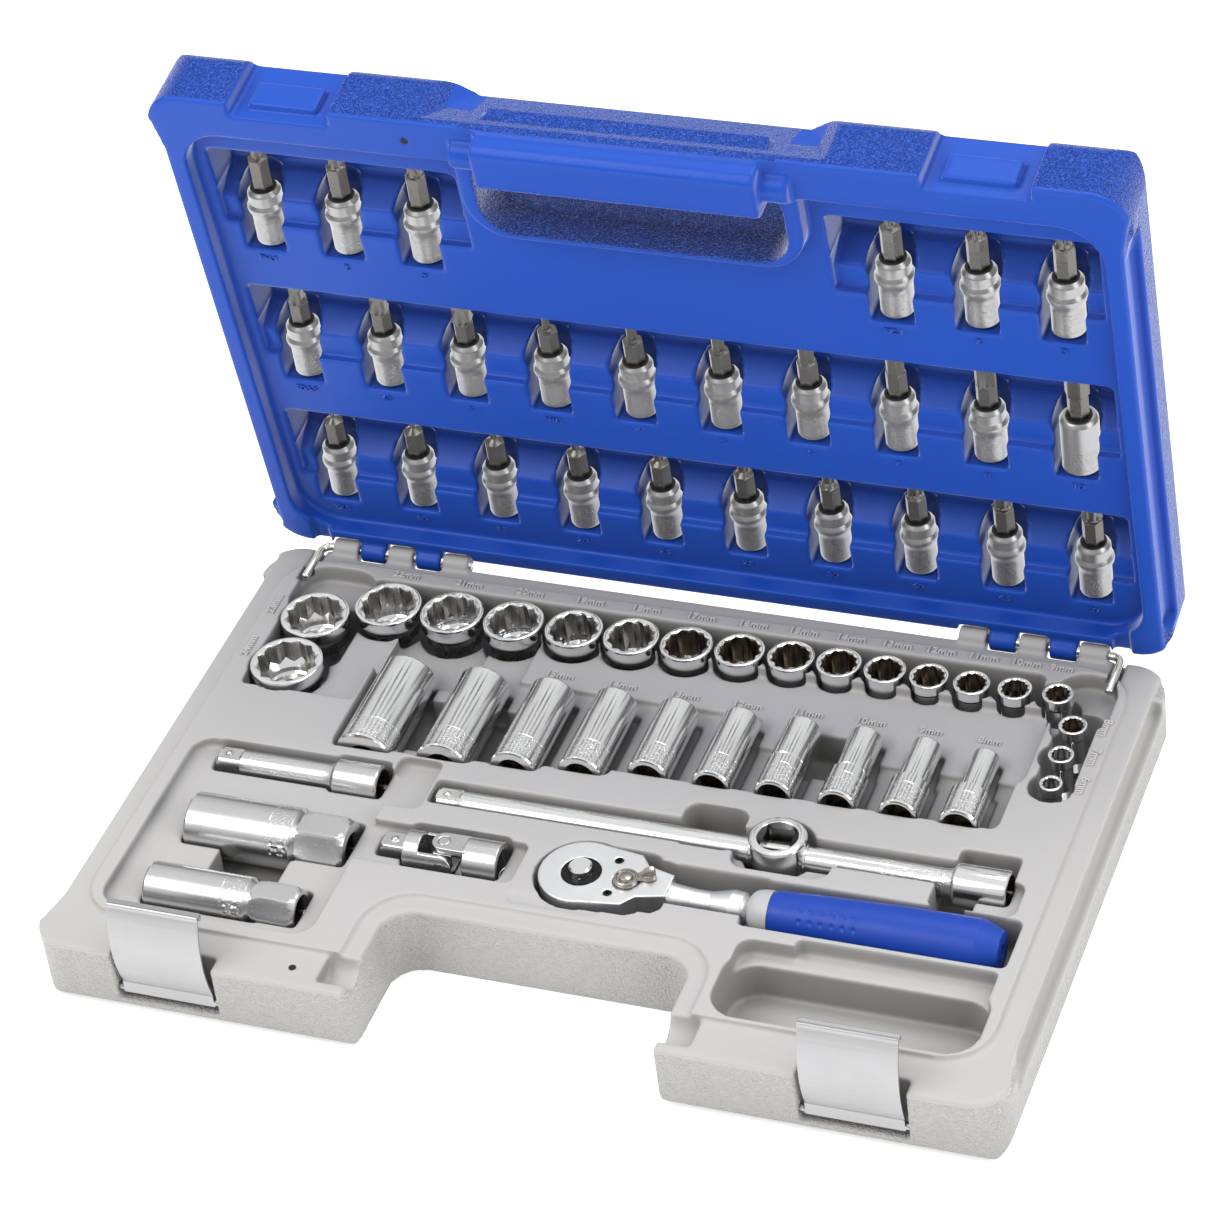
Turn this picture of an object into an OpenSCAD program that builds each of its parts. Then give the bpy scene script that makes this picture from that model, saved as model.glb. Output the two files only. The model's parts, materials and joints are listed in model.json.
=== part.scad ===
/* [Case] */
// Width of the case at the mating flange
case_w = 408; // [380:1:440]
// Depth of the case at the mating flange
case_d = 261; // [240:1:300]
// Height of the base up to its mating flange
base_h = 34; // [33:1:44]
// Thickness of the closed lid above its mating flange
lid_h = 33; // [32:1:44]
// Thickness of the moulded skin
wall = 2.2; // [1.6:0.1:3]
// Angle of the open lid from closed
lid_open = 81; // [0:1:95]

/* [Tray] */
// Height of the raised tray top above the flange
plateau_step = 2; // [1:0.5:3]
// Drop from the tray top to the lower tray level
lower_drop = 5; // [3:0.5:7]
// Gap between a tool and its pocket
tool_gap = 0.7; // [0.5:0.1:1.5]

/* [Tools] */
// Drive square across flats
drive = 9.5; // [9.4:0.1:9.6]
// Length of an upright socket
socket_len = 30; // [26:1:32]
// Length of the long extension
long_ext = 250; // [200:1:252]
// Length of the short extension
short_ext = 76; // [70:1:78]
// Overall length of the ratchet
ratchet_len = 196; // [180:1:198]

/* [Hidden] */
$fn = 48;

eps = 0.01;
half_w = case_w / 2;
half_d = case_d / 2;
tray_z = base_h + plateau_step;
low_z = tray_z - lower_drop;
back_z = tray_z - lower_drop - 0.5;
mid_z = back_z - 3;
dip_z = back_z - 6;
hinge_y = half_d + 6.5;
lid_gap = 0.6;
hinge_z = base_h + lid_gap / 2;
rear_y = hinge_y - 2.5;
lid_z = base_h + lid_gap;
lid_step = 9;
latch_x = 147.2;
notch_w = 44.6;
edge_r = 10;
bulge = 4;

grey = [0.72, 0.72, 0.70];
blue = [0.05, 0.18, 0.60];
chrome = [0.85, 0.86, 0.88];
satin = [0.70, 0.71, 0.73];
steel = [0.35, 0.34, 0.32];
black = [0.06, 0.06, 0.06];
metal = [0.78, 0.79, 0.82];

// Upright sockets: size, x, y, outside diameter of the nose
UPRIGHT = [[6, 178, 49.5, 9.8], [7, 177.4, 67.6, 11], [8, 177.4, 86.4, 12.2], [9, 166, 104.6, 13.5],
  [10, 147.4, 104, 14.8], [11, 128.6, 103.6, 16], [12, 109.6, 104, 17], [13, 90, 104.2, 18.4],
  [14, 69.3, 104.4, 19.8], [15, 47.8, 104, 21], [16, 24.8, 103.2, 22.3], [17, 0.8, 102.2, 23.6],
  [18, -24.7, 102, 25], [19, -51.2, 101.6, 26], [20, -79.3, 101, 27.4], [21, -108.4, 100.6, 28.6],
  [22, -138.6, 100, 30], [23, -168.4, 86.4, 31], [24, -168.4, 53.8, 32.4]];
// Deep sockets: size, x, y of the far end, length, nose diameter
DEEP = [[19, -114.7, 63.3, 54, 26], [17, -78.9, 63.3, 53, 23.6], [15, -46.9, 63.2, 51, 21],
  [14, -17.7, 62.5, 47, 19.8], [13, 11.1, 62, 42, 18.4], [12, 39.6, 61.9, 42.5, 17],
  [11, 66.8, 62.5, 43, 16], [10, 94.4, 62.8, 43.4, 14.8], [9, 121, 62.7, 43.6, 13.5],
  [8, 146.9, 61.9, 43, 12.2]];
deep_top = 43;
drive_end = 17;
socket_floor = 8;
lie_z = low_z - 1;
spark_z = low_z - 2;
grip_z = low_z;

// Axes of the lying tools
ext_y = -9.5;
long_x = -73;
slide_x = 79;
short_y = -5.8;
short_x = -175.6;
spark_21_y = -44.6;
spark_16_y = -86;
joint_x = -56.5;
joint_y = -40.7;
ratchet_y = -44.5;
head_x = 5.5;
head_r = 18;
grip_len = 96;
grip_x = head_x - head_r + ratchet_len - grip_len;

// Rows of bits in the lid: distance of the pocket end from the hinge, x positions, sleeve radius
bit_pitch = 38.6;
bit_len = 50;
sleeve_len = 26.5;
bit_tilt = 6;
bit_depth = 17.6;
row_end = [177.4, 98.6, 22.3];
pocket_w = 18.7;

// Height of the axis of a deep socket whose top is level with the others
function deep_axis(od) = deep_top - max(od, drive_end) / 2;

function col(i) = (i - 4.5) * bit_pitch - 2.2;
function top_col(i) = i < 3 ? -139.6 + (i - 1) * 35.8 : 137.2 + (i - 4) * 35.7;

// ---------- shared shapes ----------

// Rounded rectangle between two corners
module rrect(x0, x1, y0, y1, r) {
  translate([x0 + r, y0]) square([x1 - x0 - 2 * r, y1 - y0]);
  translate([x0, y0 + r]) square([x1 - x0, y1 - y0 - 2 * r]);
  for (x = [x0 + r, x1 - r])
    for (y = [y0 + r, y1 - r])
      translate([x, y]) circle(r);
}

// Pocket from height z up, grown by g all round
module pocket(x0, x1, y0, y1, z, r, g) {
  translate([0, 0, z - g])
    linear_extrude(60)
      rrect(x0 - g, x1 + g, y0 - g, y1 + g, r + g);
}

// Round pocket from height z up, grown by g all round
module well(x, y, r, z, g) {
  translate([x, y, z - g]) cylinder(r = r + g, h = 60);
}

// Profile of one half of the case with rounded lower corners, inset by i
module side_profile(w, h, r, i) {
  translate([-w / 2 + i, r]) square([w - 2 * i, h - r]);
  translate([-w / 2 + r, i]) square([w - 2 * r, h - i]);
  for (s = [-1, 1])
    translate([s * (w / 2 - r), r]) circle(r - i);
}

// Profile of one half from the front to the rear edge beside the hinge
module depth_profile(h, i) {
  translate([(rear_y - half_d - 1) / 2, 0])
    side_profile(rear_y + half_d + 1, h, edge_r, i);
}

// Solid half of the case, mating face at height h, inset by i
module half_body(h, i) {
  intersection() {
    translate([0, 0, i])
      linear_extrude(h - i)
        rrect(-half_w - bulge + i, half_w + bulge - i, -half_d - 1 + i, rear_y - i, 16 - i);
    rotate([90, 0, 0])
      translate([0, 0, -case_d])
        linear_extrude(2 * case_d)
          side_profile(case_w + 2 * bulge, h, edge_r, i);
    rotate([90, 0, 90])
      translate([0, 0, -case_w])
        linear_extrude(2 * case_w)
          depth_profile(h, i);
  }
}

// Smooth bands sunk into both sides below the flange
module side_bands(h) {
  for (m = [0, 1])
    mirror([m, 0, 0])
      translate([half_w, 0, 0]) {
        translate([0, 0, h - 11])
          linear_extrude(8.6)
            polygon([[bulge + 1, -112], [2, -106], [-1, -94], [-1, 116], [20, 116], [20, -112]]);
        translate([0, 0, h - 3])
          linear_extrude(4)
            polygon([[bulge + 1, -122], [2.5, -116], [0, -102], [0, 128], [20, 128], [20, -122]]);
      }
}

// Notch of one latch, open to the front
module latch_notch(z0, z1, depth, g) {
  for (s = [-1, 1])
    translate([s * latch_x - notch_w / 2 - g, -half_d - 12, z0])
      cube([notch_w + 2 * g, 12 + depth + g, z1 - z0]);
}

// Area of the raised tray top, shrunk by s
module tray_area(s) {
  difference() {
    rrect(-194.5 + s, 194.5 - s, -110.8 + s, 126 - s, 20);
    handle_area(8.5 + s);
  }
}

// Area of the handle cut-out, grown by g
module handle_area(g) {
  rrect(-66.5 - g, 66.5 + g, -half_d - 40, -79 + g, 13 + g);
}

// ---------- base ----------

module tray_pockets(g) {
  // trough of the upright sockets
  pocket(-152, 158, 99, 118, socket_floor, 4, g);
  pocket(-184, -150, 62, 104, socket_floor, 6, g);
  pocket(170.5, 187, 40.6, 106, socket_floor, 6, g);
  for (s = UPRIGHT)
    well(s[1], s[2], max(s[3], drive_end) / 2 + 1.1, socket_floor, g);
  // shallow corners behind the end sockets
  pocket(-186, -150, 88, 122, low_z - 4, 12, g);
  pocket(164, 190, 84, 122, low_z - 4, 12, g);
  // lower level of the tray
  pocket(-187.5, -92, -104.5, 1, low_z, 9, g);
  pocket(-95, -76, -22, 8, low_z, 3, g);
  pocket(-96, -22, -56, -32, low_z, 3, g);
  // platform between the deep sockets
  pocket(-129, -64, 10, 70.5, mid_z, 3, g);
  pocket(-71, -34, 12.5, 70.5, mid_z, 3, g);
  pocket(-41, -5, 15.5, 70.5, mid_z, 3, g);
  pocket(-12, 45, 19.5, 70.5, mid_z, 3, g);
  pocket(38, 163, 19.5, 52.5, mid_z, 3, g);
  // surface behind the deep sockets, lowest in front of the largest upright sockets
  pocket(-184, -130.7, 38, 92, back_z, 3, g);
  pocket(-129, -88, 62, 96, dip_z, 3, g);
  pocket(-92, -66, 66, 96, mid_z, 3, g);
  pocket(-70, 40, 66, 96, back_z, 3, g);
  pocket(30, 166, 48, 96, back_z, 6, g);
  for (d = DEEP) {
    r = max(d[4], drive_end) / 2;
    pocket(d[1] - r - tool_gap, d[1] + r + tool_gap, d[2] - d[3] - tool_gap,
      d[2] - (d[4] < drive_end ? 17 : -tool_gap), deep_axis(d[4]) - r - tool_gap, 1.5, g);
    pocket(d[1] - d[4] / 2 - tool_gap, d[1] + d[4] / 2 + tool_gap, d[2] - d[3] + 6,
      d[2] + tool_gap, deep_axis(d[4]) - r - tool_gap, 1.5, g);
  }
  // finger gaps between the deep sockets
  pocket(-113, -52, 21.5, 54, 14, 4, g);
  pocket(68, 90, 42, 66, 14, 4, g);
  // short extension
  pocket(short_x - 1, -100, short_y - 7.5, short_y + 7.5, lie_z - 7, 2, g);
  pocket(-122, -97.2, short_y - 9.3, short_y + 9.3, lie_z - 9.4, 2, g);
  // spark plug sockets and the gap between them
  pocket(-171, -118, spark_21_y - 14.6, spark_21_y + 14.6, spark_z - 14.4, 2, g);
  pocket(-121, -96.4, spark_21_y - 13.6, spark_21_y + 13.6, spark_z - 13.4, 2, g);
  pocket(-172.5, -119, spark_16_y - 11.8, spark_16_y + 11.8, lie_z - 11.8, 2, g);
  pocket(-122, -102, spark_16_y - 11, spark_16_y + 11, lie_z - 11, 2, g);
  pocket(-152, -120, spark_16_y, spark_21_y, 14, 6, g);
  // universal joint
  pocket(joint_x - 30, joint_x - 12, joint_y - 7, joint_y + 7, lie_z - 8, 2, g);
  pocket(joint_x - 18, joint_x + 26.6, joint_y - 11, joint_y + 11, lie_z - 11, 3, g);
  // long extension, sliding head and finger gaps
  pocket(long_x - 1.5, 158, ext_y - 7.2, ext_y + 7.2, lie_z - 7, 2, g);
  pocket(153, long_x + long_ext + 1.5, ext_y - 9.6, ext_y + 14.6, lie_z - 9.6, 2, g);
  pocket(34.5, 62, ext_y - 8, ext_y + 17.5, 14, 6, g);
  well(slide_x, ext_y, 15.5, 14, g);
  pocket(62, 104, ext_y - 16, ext_y, low_z, 6, g);
  pocket(148, 165, ext_y - 21, ext_y, 16, 4, g);
  pocket(160, 184, ext_y - 20, ext_y, low_z, 4, g);
  // ratchet head, shank and grip
  well(head_x, ratchet_y, head_r + 2, 10, g);
  pocket(head_x, 36, ratchet_y - 18.6, ratchet_y + 18.6, 18, 6, g);
  pocket(head_x, 44, ratchet_y - 15.5, ratchet_y + 15.5, 18, 6, g);
  pocket(40, 84, ratchet_y - 8.5, ratchet_y + 15, lie_z - 12, 4, g);
  pocket(77, 188.6, ratchet_y - 14, ratchet_y + 14, grip_z - 13.4, 3, g);
  // storage compartment with its ledge
  pocket(79.5, 189.4, -108.6, -71, 11, 13, g);
  pocket(104, 187, -82, -60.8, 28, 2, g);
  pocket(81, 108, -84, -65, 28, 6, g);
}
module base_outer() {
  difference() {
    union() {
      half_body(base_h, 0);
      translate([0, 0, base_h - 4])
        linear_extrude(plateau_step + 4)
          tray_area(0);
      base_knuckles();
    }
    side_bands(base_h);
    latch_notch(8, base_h + 9, 7, 0);
    translate([0, 0, -1]) linear_extrude(80) handle_area(0);
    base_notches();
  }
}

// Half-round seats beside the handle cut-out for the bosses of the lid's grip
module base_notches() {
  for (s = [-1, 1])
    translate([s * 76, -118.6, base_h])
      rotate([0, s * 90, 0])
        translate([0, 0, -14]) cylinder(r = 7.6, h = 18);
}

module base_void(g) {
  difference() {
    union() {
      half_void(base_h - 13.4, 0);
      half_void(base_h - wall, 7);
      linear_extrude(tray_z - wall)
        tray_area(wall + 0.6);
    }
    translate([0, 0, -eps]) linear_extrude(wall) square([600, 600], center = true);
    latch_notch(0, 60, 7, wall);
    linear_extrude(80) handle_area(wall);
    for (s = [-1, 1])
      translate([s * 76, -118.6, base_h])
        rotate([0, s * 90, 0])
          translate([0, 0, -17]) cylinder(r = 7.6 + wall, h = 24);
    for (m = [-1, 1])
      wire_groove(m, wall);
    knuckle_room(lid_knuckle_x, hinge_z, wall);
    tray_pockets(g);
  }
}

// Groove for the wire end on side m, grown by g
module wire_groove(m, g) {
  translate([m * wire_x - 2.6 - g, hinge_y - wire_leg - 3 - g, base_h - 2.4 - g])
    cube([5.2 + 2 * g, 42, 12]);
}

// Inner space of one half up to height h, narrower by n at the sides
module half_void(h, n) {
  intersection() {
    half_body(h, 0);
    translate([0, 0, wall])
      linear_extrude(h - wall)
        rrect(-half_w - bulge + wall + n, half_w + bulge - wall - n, -half_d - 1 + wall,
          rear_y - wall, 14);
    rotate([90, 0, 0])
      translate([0, 0, -case_d])
        linear_extrude(2 * case_d)
          side_profile(case_w + 2 * bulge, h, edge_r, wall);
    rotate([90, 0, 90])
      translate([0, 0, -case_w])
        linear_extrude(2 * case_w)
          depth_profile(h, wall);
  }
}

knuckle_r = 4.6;
pin_r = 1.9;
knuckle_pitch = 13.35;
knuckle_w = 12.2;
base_knuckle_x = [120, 120 + 2 * knuckle_pitch, 120 + 4 * knuckle_pitch];
lid_knuckle_x = [120 + knuckle_pitch, 120 + 3 * knuckle_pitch];
wire_x = 185.4;
wire_leg = 24;

module knuckle(x, y, z, side) {
  translate([x - knuckle_w / 2, y, z])
    rotate([0, 90, 0]) cylinder(r = knuckle_r, h = knuckle_w);
  translate([x - knuckle_w / 2, y - 8, side < 0 ? z - knuckle_r : z + lid_gap / 2])
    cube([knuckle_w, 8, knuckle_r - lid_gap / 2]);
}

// Clearance around the other half's knuckles, grown by g
module knuckle_room(places, z, g) {
  for (m = [-1, 1])
    for (x = places)
      translate([m * x, hinge_y, z])
        rotate([0, 90, 0])
          cylinder(r = knuckle_r + 1.4 + g, h = knuckle_w + 1.7 + 2 * g, center = true);
}

module base_knuckles() {
  for (m = [-1, 1])
    for (x = base_knuckle_x)
      knuckle(m * x, hinge_y, hinge_z, -1);
}

module pin_bore() {
  translate([-190, hinge_y, hinge_z])
    rotate([0, 90, 0]) cylinder(r = pin_r + 0.05, h = 380);
}

// Blind vent hole in the flange at height z
module vent(z) {
  translate([-92, -121.5, z - 1.7]) cylinder(r = 1.2, h = 12);
}

module base_case() {
  color(grey)
  difference() {
    base_outer();
    base_void(wall);
    tray_pockets(0);
    pin_bore();
    vent(base_h);
    translate([0, 0, tray_z - 0.8])
      linear_extrude(4) rrect(-20.5, 20.5, -67.2, -59.4, 3.8);
    for (s = [-1, 1])
      translate([s * latch_x, latch_y, latch_z])
        rotate([0, 90, 0]) cylinder(r = 1.65, h = 50, center = true);
    knuckle_room(lid_knuckle_x, hinge_z, 0);
    // wire ends lie in these grooves
    for (m = [-1, 1])
      wire_groove(m, 0);
  }
}

// ---------- latches ----------

latch_z = 13;
latch_w = 41;

latch_y = -half_d + 2.2;
latch_half = 22.7;
latch_bow = 4.5;
latch_bend = (latch_half * latch_half + latch_bow * latch_bow) / (2 * latch_bow);
latch_plate = 1.4;

// Cross-section of a latch: x into the case, y up, from the pivot
module latch_section() {
  intersection() {
    difference() {
      translate([latch_bend - latch_bow, 24]) circle(latch_bend, $fn = 200);
      translate([latch_bend - latch_bow, 24]) circle(latch_bend - latch_plate, $fn = 200);
    }
    translate([-20, -2]) square([20.2, 49]);
  }
  translate([-1.6, -1.7]) square([2.2, 6]);
  translate([-0.6, 45.3]) square([3.8, latch_plate]);
  translate([1.9, 43.4]) square([1.3, 2.2]);
}

module latch(s) {
  color(metal)
  translate([s * latch_x, latch_y, latch_z]) {
    rotate([90, 0, 90])
      translate([0, 0, -latch_w / 2])
        linear_extrude(latch_w) latch_section();
    rotate([0, 90, 0]) cylinder(r = 1.6, h = 48, center = true);
  }
}

module latch_left() { latch(-1); }
module latch_right() { latch(1); }

// ---------- lid, drawn closed and swung open ----------

module swing() {
  translate([0, hinge_y, hinge_z])
    rotate([-lid_open, 0, 0])
      translate([0, -hinge_y, -hinge_z])
        children();
}

// Turns a shape drawn like the base into the lid's place
module over() {
  translate([0, 0, lid_z + lid_h])
    mirror([0, 0, 1])
      children();
}

lid_face = lid_h - lid_step;
lid_shelf = lid_face - 4.5;

// Heights here are measured down from the lid's outer face
module lid_pockets(g) {
  // recess that takes the raised tray of the base
  translate([0, 0, lid_face - g])
    linear_extrude(60) lid_area(g);
  lid_row(row_end[1], -191, 191, g);
  lid_row(row_end[2], -191, 191, g);
  lid_row(row_end[0], -191, -79, g);
  lid_row(row_end[0], 79, 191, g);
  for (i = [0:9]) {
    bit_pocket(col(i), row_end[1], g);
    bit_pocket(col(i), row_end[2], g);
  }
  for (i = [0:5])
    bit_pocket(top_col(i), row_end[0], g);
}

module lid_area(g) {
  difference() {
    rrect(-196 - g, 196 + g, -112.4 - g, 129 - wall + g, 20);
    handle_area(6.5 - g);
  }
}

// Trough above the sleeves of one row, with its shelf and the slope between them
module lid_row(v, x0, x1, g) {
  y = hinge_y - v;
  pocket(x0, x1, y - 56, y - 33, 4, 3, g);
  translate([x0 - g, 0, 0])
    rotate([90, 0, 90])
      linear_extrude(x1 - x0 + 2 * g)
        polygon([[y - 14.5 + g, 60], [y - 14.5 + g, lid_shelf - g], [y - 25.5, lid_shelf - g],
          [y - 34 - g, 5 - g], [y - 34 - g, 60]]);
}

module bit_pocket(x, v, g) {
  pocket(x - pocket_w / 2, x + pocket_w / 2, hinge_y - v - 30, hinge_y - v + 0.6, 3.6, 1.2, g);
  well(x, hinge_y - v - 25, 10.4, 3.6, g);
}

// Recess behind the grip bar and the notches of the catches
module lid_grip_recess(g) {
  pocket(-66, 66, -half_d + 14, -75, 14, 14, g);
}

module lid_catches(g) {
  translate([0, 0, -1]) latch_notch(0, lid_h + 4, 6, g);
}

// Waist of the outer face in front of the grip, its wall moved back by g
module lid_waist(g) {
  intersection() {
    translate([-100, 0, 0])
      rotate([90, 0, 90])
        linear_extrude(200)
          polygon([[-half_d - 20, lid_h - 4], [-half_d - 1 + g, lid_h - 4 + g],
            [-half_d + 13 + g, -6], [-half_d - 20, -6]]);
    translate([0, 0, -10])
      linear_extrude(60)
        polygon([[-98 - g, -half_d - 20], [-86 - g, -half_d - 1], [-66 - g, -half_d + 14 + g],
          [66 + g, -half_d + 14 + g], [86 + g, -half_d - 1], [98 + g, -half_d - 20]]);
  }
}

module lid_case() {
  color(blue)
  swing() {
    difference() {
      union() {
        over()
          difference() {
            half_body(lid_h, 0);
            side_bands(lid_h);
            lid_catches(0);
            difference() {
              lid_void();
              lid_pockets(wall);
              lid_grip_recess(wall);
            }
            lid_pockets(0);
            lid_grip_recess(0);
            lid_waist(0);
            vent(lid_h);
          }
        lid_grip();
        lid_knuckles();
        lid_catch_ribs();
      }
      pin_bore();
      knuckle_room(base_knuckle_x, hinge_z, 0);
      // room for the wire ends
      for (m = [-1, 1])
        translate([m * wire_x - 4, hinge_y - wire_leg - 5, lid_z - 1]) cube([8, 40, 3.4]);
    }
  }
}

module lid_void() {
  difference() {
    union() {
      half_void(lid_h - 13.4, 0);
      half_void(lid_h - wall, 7);
    }
    latch_notch(-2, 60, 6, wall);
    lid_waist(wall);
    knuckle_room(base_knuckle_x, lid_z + lid_h - hinge_z, wall);
    for (m = [-1, 1])
      translate([m * wire_x - 4 - wall, hinge_y - wire_leg - 8, lid_h - 2.4 - wall])
        cube([8 + 2 * wall, 40, 9]);
  }
}

module lid_knuckles() {
  for (m = [-1, 1])
    for (x = lid_knuckle_x)
      knuckle(m * x, hinge_y, hinge_z, 1);
}

// Ribs that the latches hook over
module lid_catch_ribs() {
  for (s = [-1, 1])
    translate([s * latch_x - 15, -half_d + 2.9, lid_z + 6]) cube([30, 3.6, 14]);
}

// Grip bar across the front edge with a round boss at each end
module lid_grip() {
  y = -half_d + 12.2;
  z = lid_z + 0.4;
  intersection() {
    translate([-60, y, z]) rotate([0, 90, 0]) cylinder(r = 13.4, h = 120, $fn = 96);
    translate([-60, y - 11.6, z - 10.4]) cube([120, 23.2, 20.8]);
  }
  translate([-71.5, y, z]) rotate([0, 90, 0]) cylinder(r = 6.6, h = 143);
  translate([-60, y - 11.4, z]) cube([120, 5, 16]);
}

// ---------- hinge pins ----------

module hinge_pin(m) {
  color(metal) {
    translate([m > 0 ? 113 : -wire_x, hinge_y, hinge_z])
      rotate([0, 90, 0]) cylinder(r = pin_r, h = wire_x - 113);
    translate([m * wire_x, hinge_y, hinge_z]) sphere(pin_r);
    translate([m * wire_x, hinge_y, hinge_z])
      rotate([90, 0, 0]) cylinder(r = pin_r, h = wire_leg);
  }
}

module hinge_pin_left() { hinge_pin(-1); }
module hinge_pin_right() { hinge_pin(1); }

// ---------- sockets ----------

// Twelve-point opening across flats s
module star(s, h) {
  for (a = [0, 30])
    rotate([0, 0, a]) cylinder(r = s / sqrt(3), h = h, $fn = 6);
}

// Socket on its drive end: size, nose diameter, drive end diameter, length, depth of opening
module socket_shape(s, od, de, len, depth) {
  neck = len * 0.42;
  difference() {
    rotate_extrude()
      polygon([[0, 0], [de / 2 - 0.8, 0], [de / 2, 0.8], [de / 2, neck - abs(od - de) * 0.25],
        [od / 2, neck + 1 + abs(od - de) * 0.25], [od / 2, len - 0.9], [od / 2 - 0.9, len],
        [0, len]]);
    translate([0, 0, len - depth]) star(s + 0.2, depth + 1);
    translate([0, 0, len - 1]) cylinder(r1 = s / 2 + 0.2, r2 = s / 2 + 1.3, h = 1.1);
    translate([0, 0, 5])
      cylinder(r = min(s * 0.4, 5.6), h = len);
    translate([-drive / 2, -drive / 2, -1]) cube([drive, drive, 11]);
    translate([0, 0, -eps]) cylinder(r1 = drive * 0.72, r2 = drive * 0.5, h = 2);
  }
}

function nose_end(od) = od > 24 ? 21 : (od < drive_end ? drive_end : od - 1);

module upright(size) {
  for (s = UPRIGHT)
    if (s[0] == size)
      color(chrome)
        translate([s[1], s[2], socket_floor])
          socket_shape(s[0], s[3], nose_end(s[3]), socket_len, min(15, 6 + s[0] * 0.5));
}

module deep(size) {
  for (d = DEEP)
    if (d[0] == size)
      color(chrome)
        translate([d[1], d[2] - d[3], deep_axis(d[4])])
          rotate([-90, 0, 0])
            socket_shape(d[0], d[4], max(d[4], drive_end), d[3], d[3] * 0.6);
}

module spark(s, od, len, x, y, z) {
  hex = drive_end + 4;
  color(chrome)
  translate([x, y, z])
    rotate([0, 90, 0])
      difference() {
        union() {
          rotate_extrude()
            polygon([[0, 0], [od / 2 - 1, 0], [od / 2, 1], [od / 2, len * 0.68],
              [hex / 2 - 1, len * 0.72], [hex / 2 - 1, len * 0.8], [0, len * 0.8]]);
          intersection() {
            translate([0, 0, len * 0.72]) rotate([0, 0, 30])
              cylinder(r = od * 0.48, h = len * 0.28, $fn = 6);
            rotate_extrude()
              polygon([[0, len * 0.7], [od * 0.42, len * 0.7], [od * 0.48, len * 0.76],
                [od * 0.48, len - 3], [od * 0.42, len], [0, len]]);
          }
        }
        translate([0, 0, -1]) cylinder(r = s / sqrt(3), h = len * 0.62, $fn = 6);
        translate([0, 0, len - 12]) translate([-drive / 2, -drive / 2, 0]) cube([drive, drive, 13]);
        cylinder(r = 4.6, h = len);
      }
}

module spark_socket_21() { spark(21, 27, 72, -170, spark_21_y, spark_z); }
module spark_socket_16() { spark(16, 21.4, 68, -171.5, spark_16_y, lie_z); }

// ---------- extensions ----------

// Drive square with its detent ball, pointing along -x from the origin
module square_tip(len) {
  intersection() {
    translate([-len, -drive / 2, -drive / 2]) cube([len + 1, drive, drive]);
    translate([-len, 0, 0]) rotate([0, 90, 0])
      rotate_extrude()
        polygon([[0, 0], [drive * 0.56, 0], [drive * 0.66, 1.6], [drive * 0.66, len + 2],
          [0, len + 2]]);
  }
  translate([-len * 0.55, 0, drive / 2 - 0.9]) sphere(1.9);
}

// Extension along x from its square tip at the origin
module extension(len, shaft, end_d, end_len) {
  tip = 10.5;
  difference() {
    union() {
      translate([tip, 0, 0]) square_tip(tip);
      translate([tip, 0, 0])
        rotate([0, 90, 0])
          rotate_extrude()
            polygon([[0, 0], [shaft / 2 - 0.5, 0], [shaft / 2, 0.5],
              [shaft / 2, len - tip - end_len - 3], [end_d / 2, len - tip - end_len],
              [end_d / 2, len - tip - 0.8], [end_d / 2 - 0.8, len - tip], [0, len - tip]]);
    }
    translate([len - 12, -drive / 2, -drive / 2]) cube([13, drive, drive]);
    translate([len - 2, 0, 0]) rotate([0, 90, 0])
      cylinder(r1 = drive / 2, r2 = drive * 0.72, h = 2 + eps);
  }
}

shaft_d = 11.4;

module long_extension() {
  color(chrome)
    translate([long_x, ext_y, lie_z]) extension(long_ext, shaft_d, 17.6, 22);
}

module slide_head() {
  color(chrome)
  translate([slide_x, ext_y, lie_z])
    difference() {
      union() {
        translate([0, 0, -9])
          rotate_extrude()
            polygon([[0, 0], [11, 0], [12.2, 1.2], [12.2, 18.8], [11.2, 19.8], [0, 19.8]]);
        translate([-drive / 2, -drive / 2, -14.5]) cube([drive, drive, 8]);
      }
      translate([-6.35, -6.35, shaft_d / 2 - 1]) cube([12.7, 12.7, 20]);
      translate([0, 0, 9.6]) cylinder(r1 = 7, r2 = 8.6, h = 1.3);
      translate([-20, 0, 0]) rotate([0, 90, 0]) cylinder(r = shaft_d / 2 + 0.08, h = 40);
    }
}

module short_extension() {
  color(chrome)
    translate([short_x, short_y, lie_z]) extension(short_ext, 12, 17.2, 20);
}

// ---------- universal joint ----------

fork_r = 9.4;
cheek_r = 5.1;
fork_gap = 10.6;

// Two fork cheeks around the origin with a bore across y, body running along x to len
module fork(len) {
  difference() {
    union() {
      translate([10, 0, 0]) rotate([0, 90, 0]) cylinder(r = fork_r, h = len - 10);
      translate([0, -8.5, -cheek_r]) cube([11, 17, 2 * cheek_r]);
      rotate([90, 0, 0]) cylinder(r = cheek_r, h = 17, center = true);
    }
    translate([-20, -fork_gap / 2, -20]) cube([30, fork_gap, 40]);
    rotate([90, 0, 0]) cylinder(r = 2.55, h = 40, center = true);
  }
}

module joint_socket_end() {
  color(chrome)
  translate([joint_x, joint_y, lie_z])
    difference() {
      rotate([90, 0, 0]) fork(25);
      translate([25 - 11, -drive / 2, -drive / 2]) cube([12, drive, drive]);
      translate([23.2, 0, 0]) rotate([0, 90, 0])
        cylinder(r1 = drive / 2, r2 = drive * 0.72, h = 2);
    }
}

module joint_cross() {
  color(satin)
  translate([joint_x, joint_y, lie_z]) {
    translate([-4.2, -4.6, -4.6]) cube([8.4, 9.2, 9.2]);
    cylinder(r = 2.5, h = 16.6, center = true);
    rotate([90, 0, 0]) cylinder(r = 2.5, h = 16.6, center = true);
  }
}

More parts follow.
